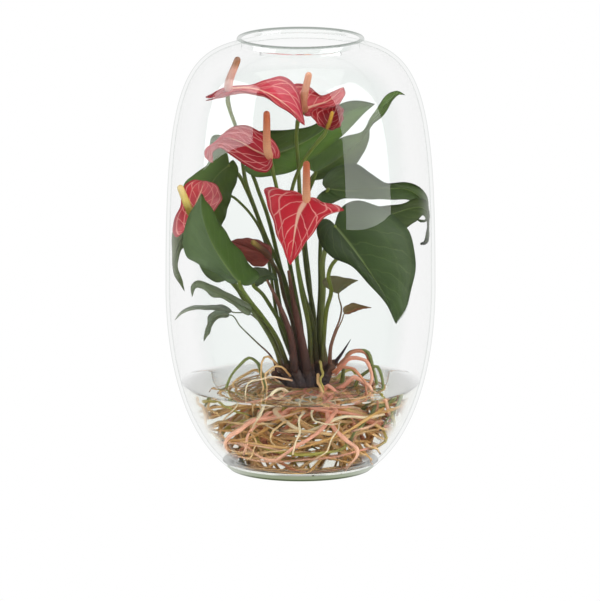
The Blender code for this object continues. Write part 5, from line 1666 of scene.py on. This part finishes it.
class BuildSheaths(bpy.types.Operator):
    """Wrap the brown papery sheaths and stand up the bud scale at the crown"""

    bl_idname = "anthurium.sheaths"
    bl_label = "Sheaths"

    def execute(self, context):
        look = skin_look("sheath_brown", (0.006, 0.30, 0.12), (0.0008, 0.15), (0.5, 0.2), 0.0003)[0]
        pieces = [(f"{name}_skin", name, route, SHEATH_RADIUS, 0.30) for name, route in SHEATHS.items()]
        pieces.append(("bud_scale_skin", "bud_scale", SPIKE, 2.0, 0.12))
        for piece, node, route, radius, tip in pieces:
            grid, along = rod(route, radius, tip, 44, 18, 0.8)
            points, faces, along = shut(grid, along)
            stops = SHEATH_TONES["bud" if node == "bud_scale" else "dry"]
            part = (points, faces, gradient(stops, along[:, 0]))
            add_piece(piece, [part], look, [node])
        return {"FINISHED"}


# The studio.


def softbox(name, size, azimuth, height, distance, roll, light, in_gloss):
    """An upright rectangle that faces the vase: one lamp for light, one for its image.

    A brightness of 1 is paper white. light is what falls on the plant, and in_gloss is
    how bright the rectangle's mirror image is in the glass.
    """
    turn = math.radians(azimuth)
    tilt = math.atan2(height - AIM_HEIGHT, distance) if size[0] == size[1] else 0.0
    for ending, brightness, mirror in (("", light, False), ("_image", in_gloss, True)):
        area = bpy.data.lights.new(name + ending, "AREA")
        area.shape = "RECTANGLE"
        area.size, area.size_y = size
        area.energy = brightness * math.pi * size[0] * size[1]
        lamp = bpy.data.objects.new(name + ending, area)
        away = distance - IMAGE_STEP * mirror
        lamp.location = (away * math.sin(turn), -away * math.cos(turn), height)
        lamp.rotation_euler = (0.5 * math.pi - tilt, 0.0, turn)
        lamp.rotation_euler.rotate_axis("Z", math.radians(roll))
        lamp.visible_camera = lamp.visible_transmission = False
        lamp.visible_glossy = mirror
        lamp.visible_diffuse = not mirror
        bpy.context.scene.collection.objects.link(lamp)


def lit(tree):
    """1 for light that a matt surface gathers, by chance or by aim, and 0 elsewhere."""
    path = add(tree, "LightPath", {}).outputs
    seen = sums(tree, "MAXIMUM", path["Is Camera Ray"], path["Is Transmission Ray"])
    seen = sums(tree, "MAXIMUM", seen, path["Is Glossy Ray"])
    after = sums(tree, "GREATER_THAN", path["Diffuse Depth"], 0.5)
    return sums(tree, "MAXIMUM", sums(tree, "SUBTRACT", 1.0, seen), after)


def astray(tree):
    """1 for light that a matt surface finds by chance through clear glass.

    The same light also reaches it by aim, since clear glass casts no shadow.
    """
    path = add(tree, "LightPath", {}).outputs
    after = sums(tree, "GREATER_THAN", path["Diffuse Depth"], 0.5)
    return sums(tree, "MULTIPLY", after, path["Is Transmission Ray"])


def mirrored(tree):
    """1 for a mirror image in the front glass, the water or a leaf, and 0 elsewhere."""
    path = add(tree, "LightPath", {}).outputs
    once = sums(tree, "COMPARE", path["Glossy Depth"], 1.0, 0.5)
    near = sums(tree, "LESS_THAN", path["Transmission Depth"], 4.5)
    here = sums(tree, "MULTIPLY", once, near)
    return sums(tree, "MULTIPLY", here, sums(tree, "SUBTRACT", 1.0, lit(tree)))


def make_world(stage):
    """A white studio that lights matt surfaces, with its mirror image dimmed."""
    world = bpy.data.worlds.new("white_studio")
    world.use_nodes = True
    tree = world.node_tree
    strength = sums(tree, "MULTIPLY_ADD", lit(tree), stage.surroundings - 1.0, 1.0)
    dimmer = sums(tree, "MULTIPLY_ADD", mirrored(tree), stage.reflected - 1.0, 1.0)
    strength = sums(tree, "MULTIPLY", strength, dimmer)
    strength = sums(tree, "MULTIPLY", strength, sums(tree, "SUBTRACT", 1.0, astray(tree)))
    wire(tree, tree.nodes["Background"], {"Color": WHITE, "Strength": strength})
    bpy.context.scene.world = world


def make_floor(stage):
    """A plain pale floor, paper white to the eye and matt to the light."""
    mesh = bpy.data.meshes.new("floor")
    corners = [(x * FLOOR_HALF, y * FLOOR_HALF, FLOOR_DROP) for x, y in FLOOR_CORNERS]
    mesh.from_pydata(corners, [], [(0, 1, 2, 3)])
    look, tree, shader = new_look("pale_floor")
    wire(tree, shader, {"Base Color": FLOOR_WHITE, "Roughness": 0.9, "Specular IOR Level": 0.0})
    strength = sums(tree, "MULTIPLY_ADD", mirrored(tree), stage.reflected - 1.0, 1.0)
    seen = add(tree, "LightPath", {}).outputs["Is Transmission Ray"]
    strength = sums(tree, "MULTIPLY_ADD", seen, THROUGH_GLASS - 1.0, strength)
    glow = add(tree, "Emission", {"Color": WHITE, "Strength": strength})
    both = blended(tree, lit(tree), glow.outputs[0], shader.outputs[0])
    wire(tree, tree.nodes["Material Output"], {"Surface": both})
    mesh.materials.append(look)
    floor = bpy.data.objects.new("floor", mesh)
    bpy.context.scene.collection.objects.link(floor)


def make_camera(stage):
    """The photograph's camera: it looks down by its elevation, along the Y axis."""
    camera = bpy.data.cameras.new("camera")
    camera.lens = camera.sensor_width * stage.distance / (LONG_SIDE * METRES_PER_PIXEL)
    camera.clip_start, camera.clip_end = 1.0, 60.0
    holder = bpy.data.objects.new("camera", camera)
    rise = stage.elevation
    ahead = np.array((0.0, math.cos(rise), -math.sin(rise)))
    up = np.array((0.0, math.sin(rise), math.cos(rise)))
    side = np.array((1.0, 0.0, 0.0))
    across, high = np.subtract(PICTURE_MIDDLE, FOOT_PIXEL)
    aim = METRES_PER_PIXEL * (across * side - high * up)
    holder.location = aim - stage.distance * ahead
    holder.rotation_euler = (0.5 * math.pi - rise, 0.0, 0.0)
    bpy.context.scene.collection.objects.link(holder)
    bpy.context.scene.camera = holder


class BuildStage(bpy.types.Operator):
    """Set up the pale floor, the white surroundings, the softboxes and the camera"""

    bl_idname = "anthurium.stage"
    bl_label = "Stage"

    def execute(self, context):
        stage = context.scene.anthurium_stage
        context.scene.view_settings.view_transform = "Standard"
        for light in SOFTBOXES:
            softbox(*light)
        make_world(stage)
        make_floor(stage)
        make_camera(stage)
        return {"FINISHED"}


class AnthuriumPanel(bpy.types.Panel):
    """Lists the sizes, the colours and the pieces in the 3D view's sidebar"""

    bl_idname = "VIEW3D_PT_anthurium"
    bl_label = "Potted anthurium"
    bl_space_type = "VIEW_3D"
    bl_region_type = "UI"
    bl_category = "Anthurium"

    def draw(self, context):
        for owner, kind in SETTINGS.items():
            settings = getattr(context.scene, owner)
            for name in kind.__annotations__:
                self.layout.prop(settings, name)
        for step in STEPS:
            self.layout.operator(step.bl_idname)


SETTINGS = {
    "anthurium_vase": VaseSettings,
    "anthurium_plant": PlantSettings,
    "anthurium_stage": StageSettings,
}
STEPS = (
    BuildVase,
    BuildWater,
    BuildCrown,
    BuildRoots,
    BuildLeaves,
    BuildYoungLeaves,
    BuildStalks,
    BuildSpathes,
    BuildSpikes,
    BuildSheaths,
    BuildStage,
)


def register():
    for owner, kind in SETTINGS.items():
        bpy.utils.register_class(kind)
        setattr(bpy.types.Scene, owner, PointerProperty(type=kind))
    for kind in (*STEPS, AnthuriumPanel):
        bpy.utils.register_class(kind)


def unregister():
    for kind in (AnthuriumPanel, *reversed(STEPS)):
        bpy.utils.unregister_class(kind)
    for owner, kind in SETTINGS.items():
        delattr(bpy.types.Scene, owner)
        bpy.utils.unregister_class(kind)


def main():
    register()
    make_mottle_group()
    make_vein_group()
    for step in STEPS:
        group, name = step.bl_idname.split(".")
        getattr(getattr(bpy.ops, group), name)()


if __name__ == "__main__":
    main()
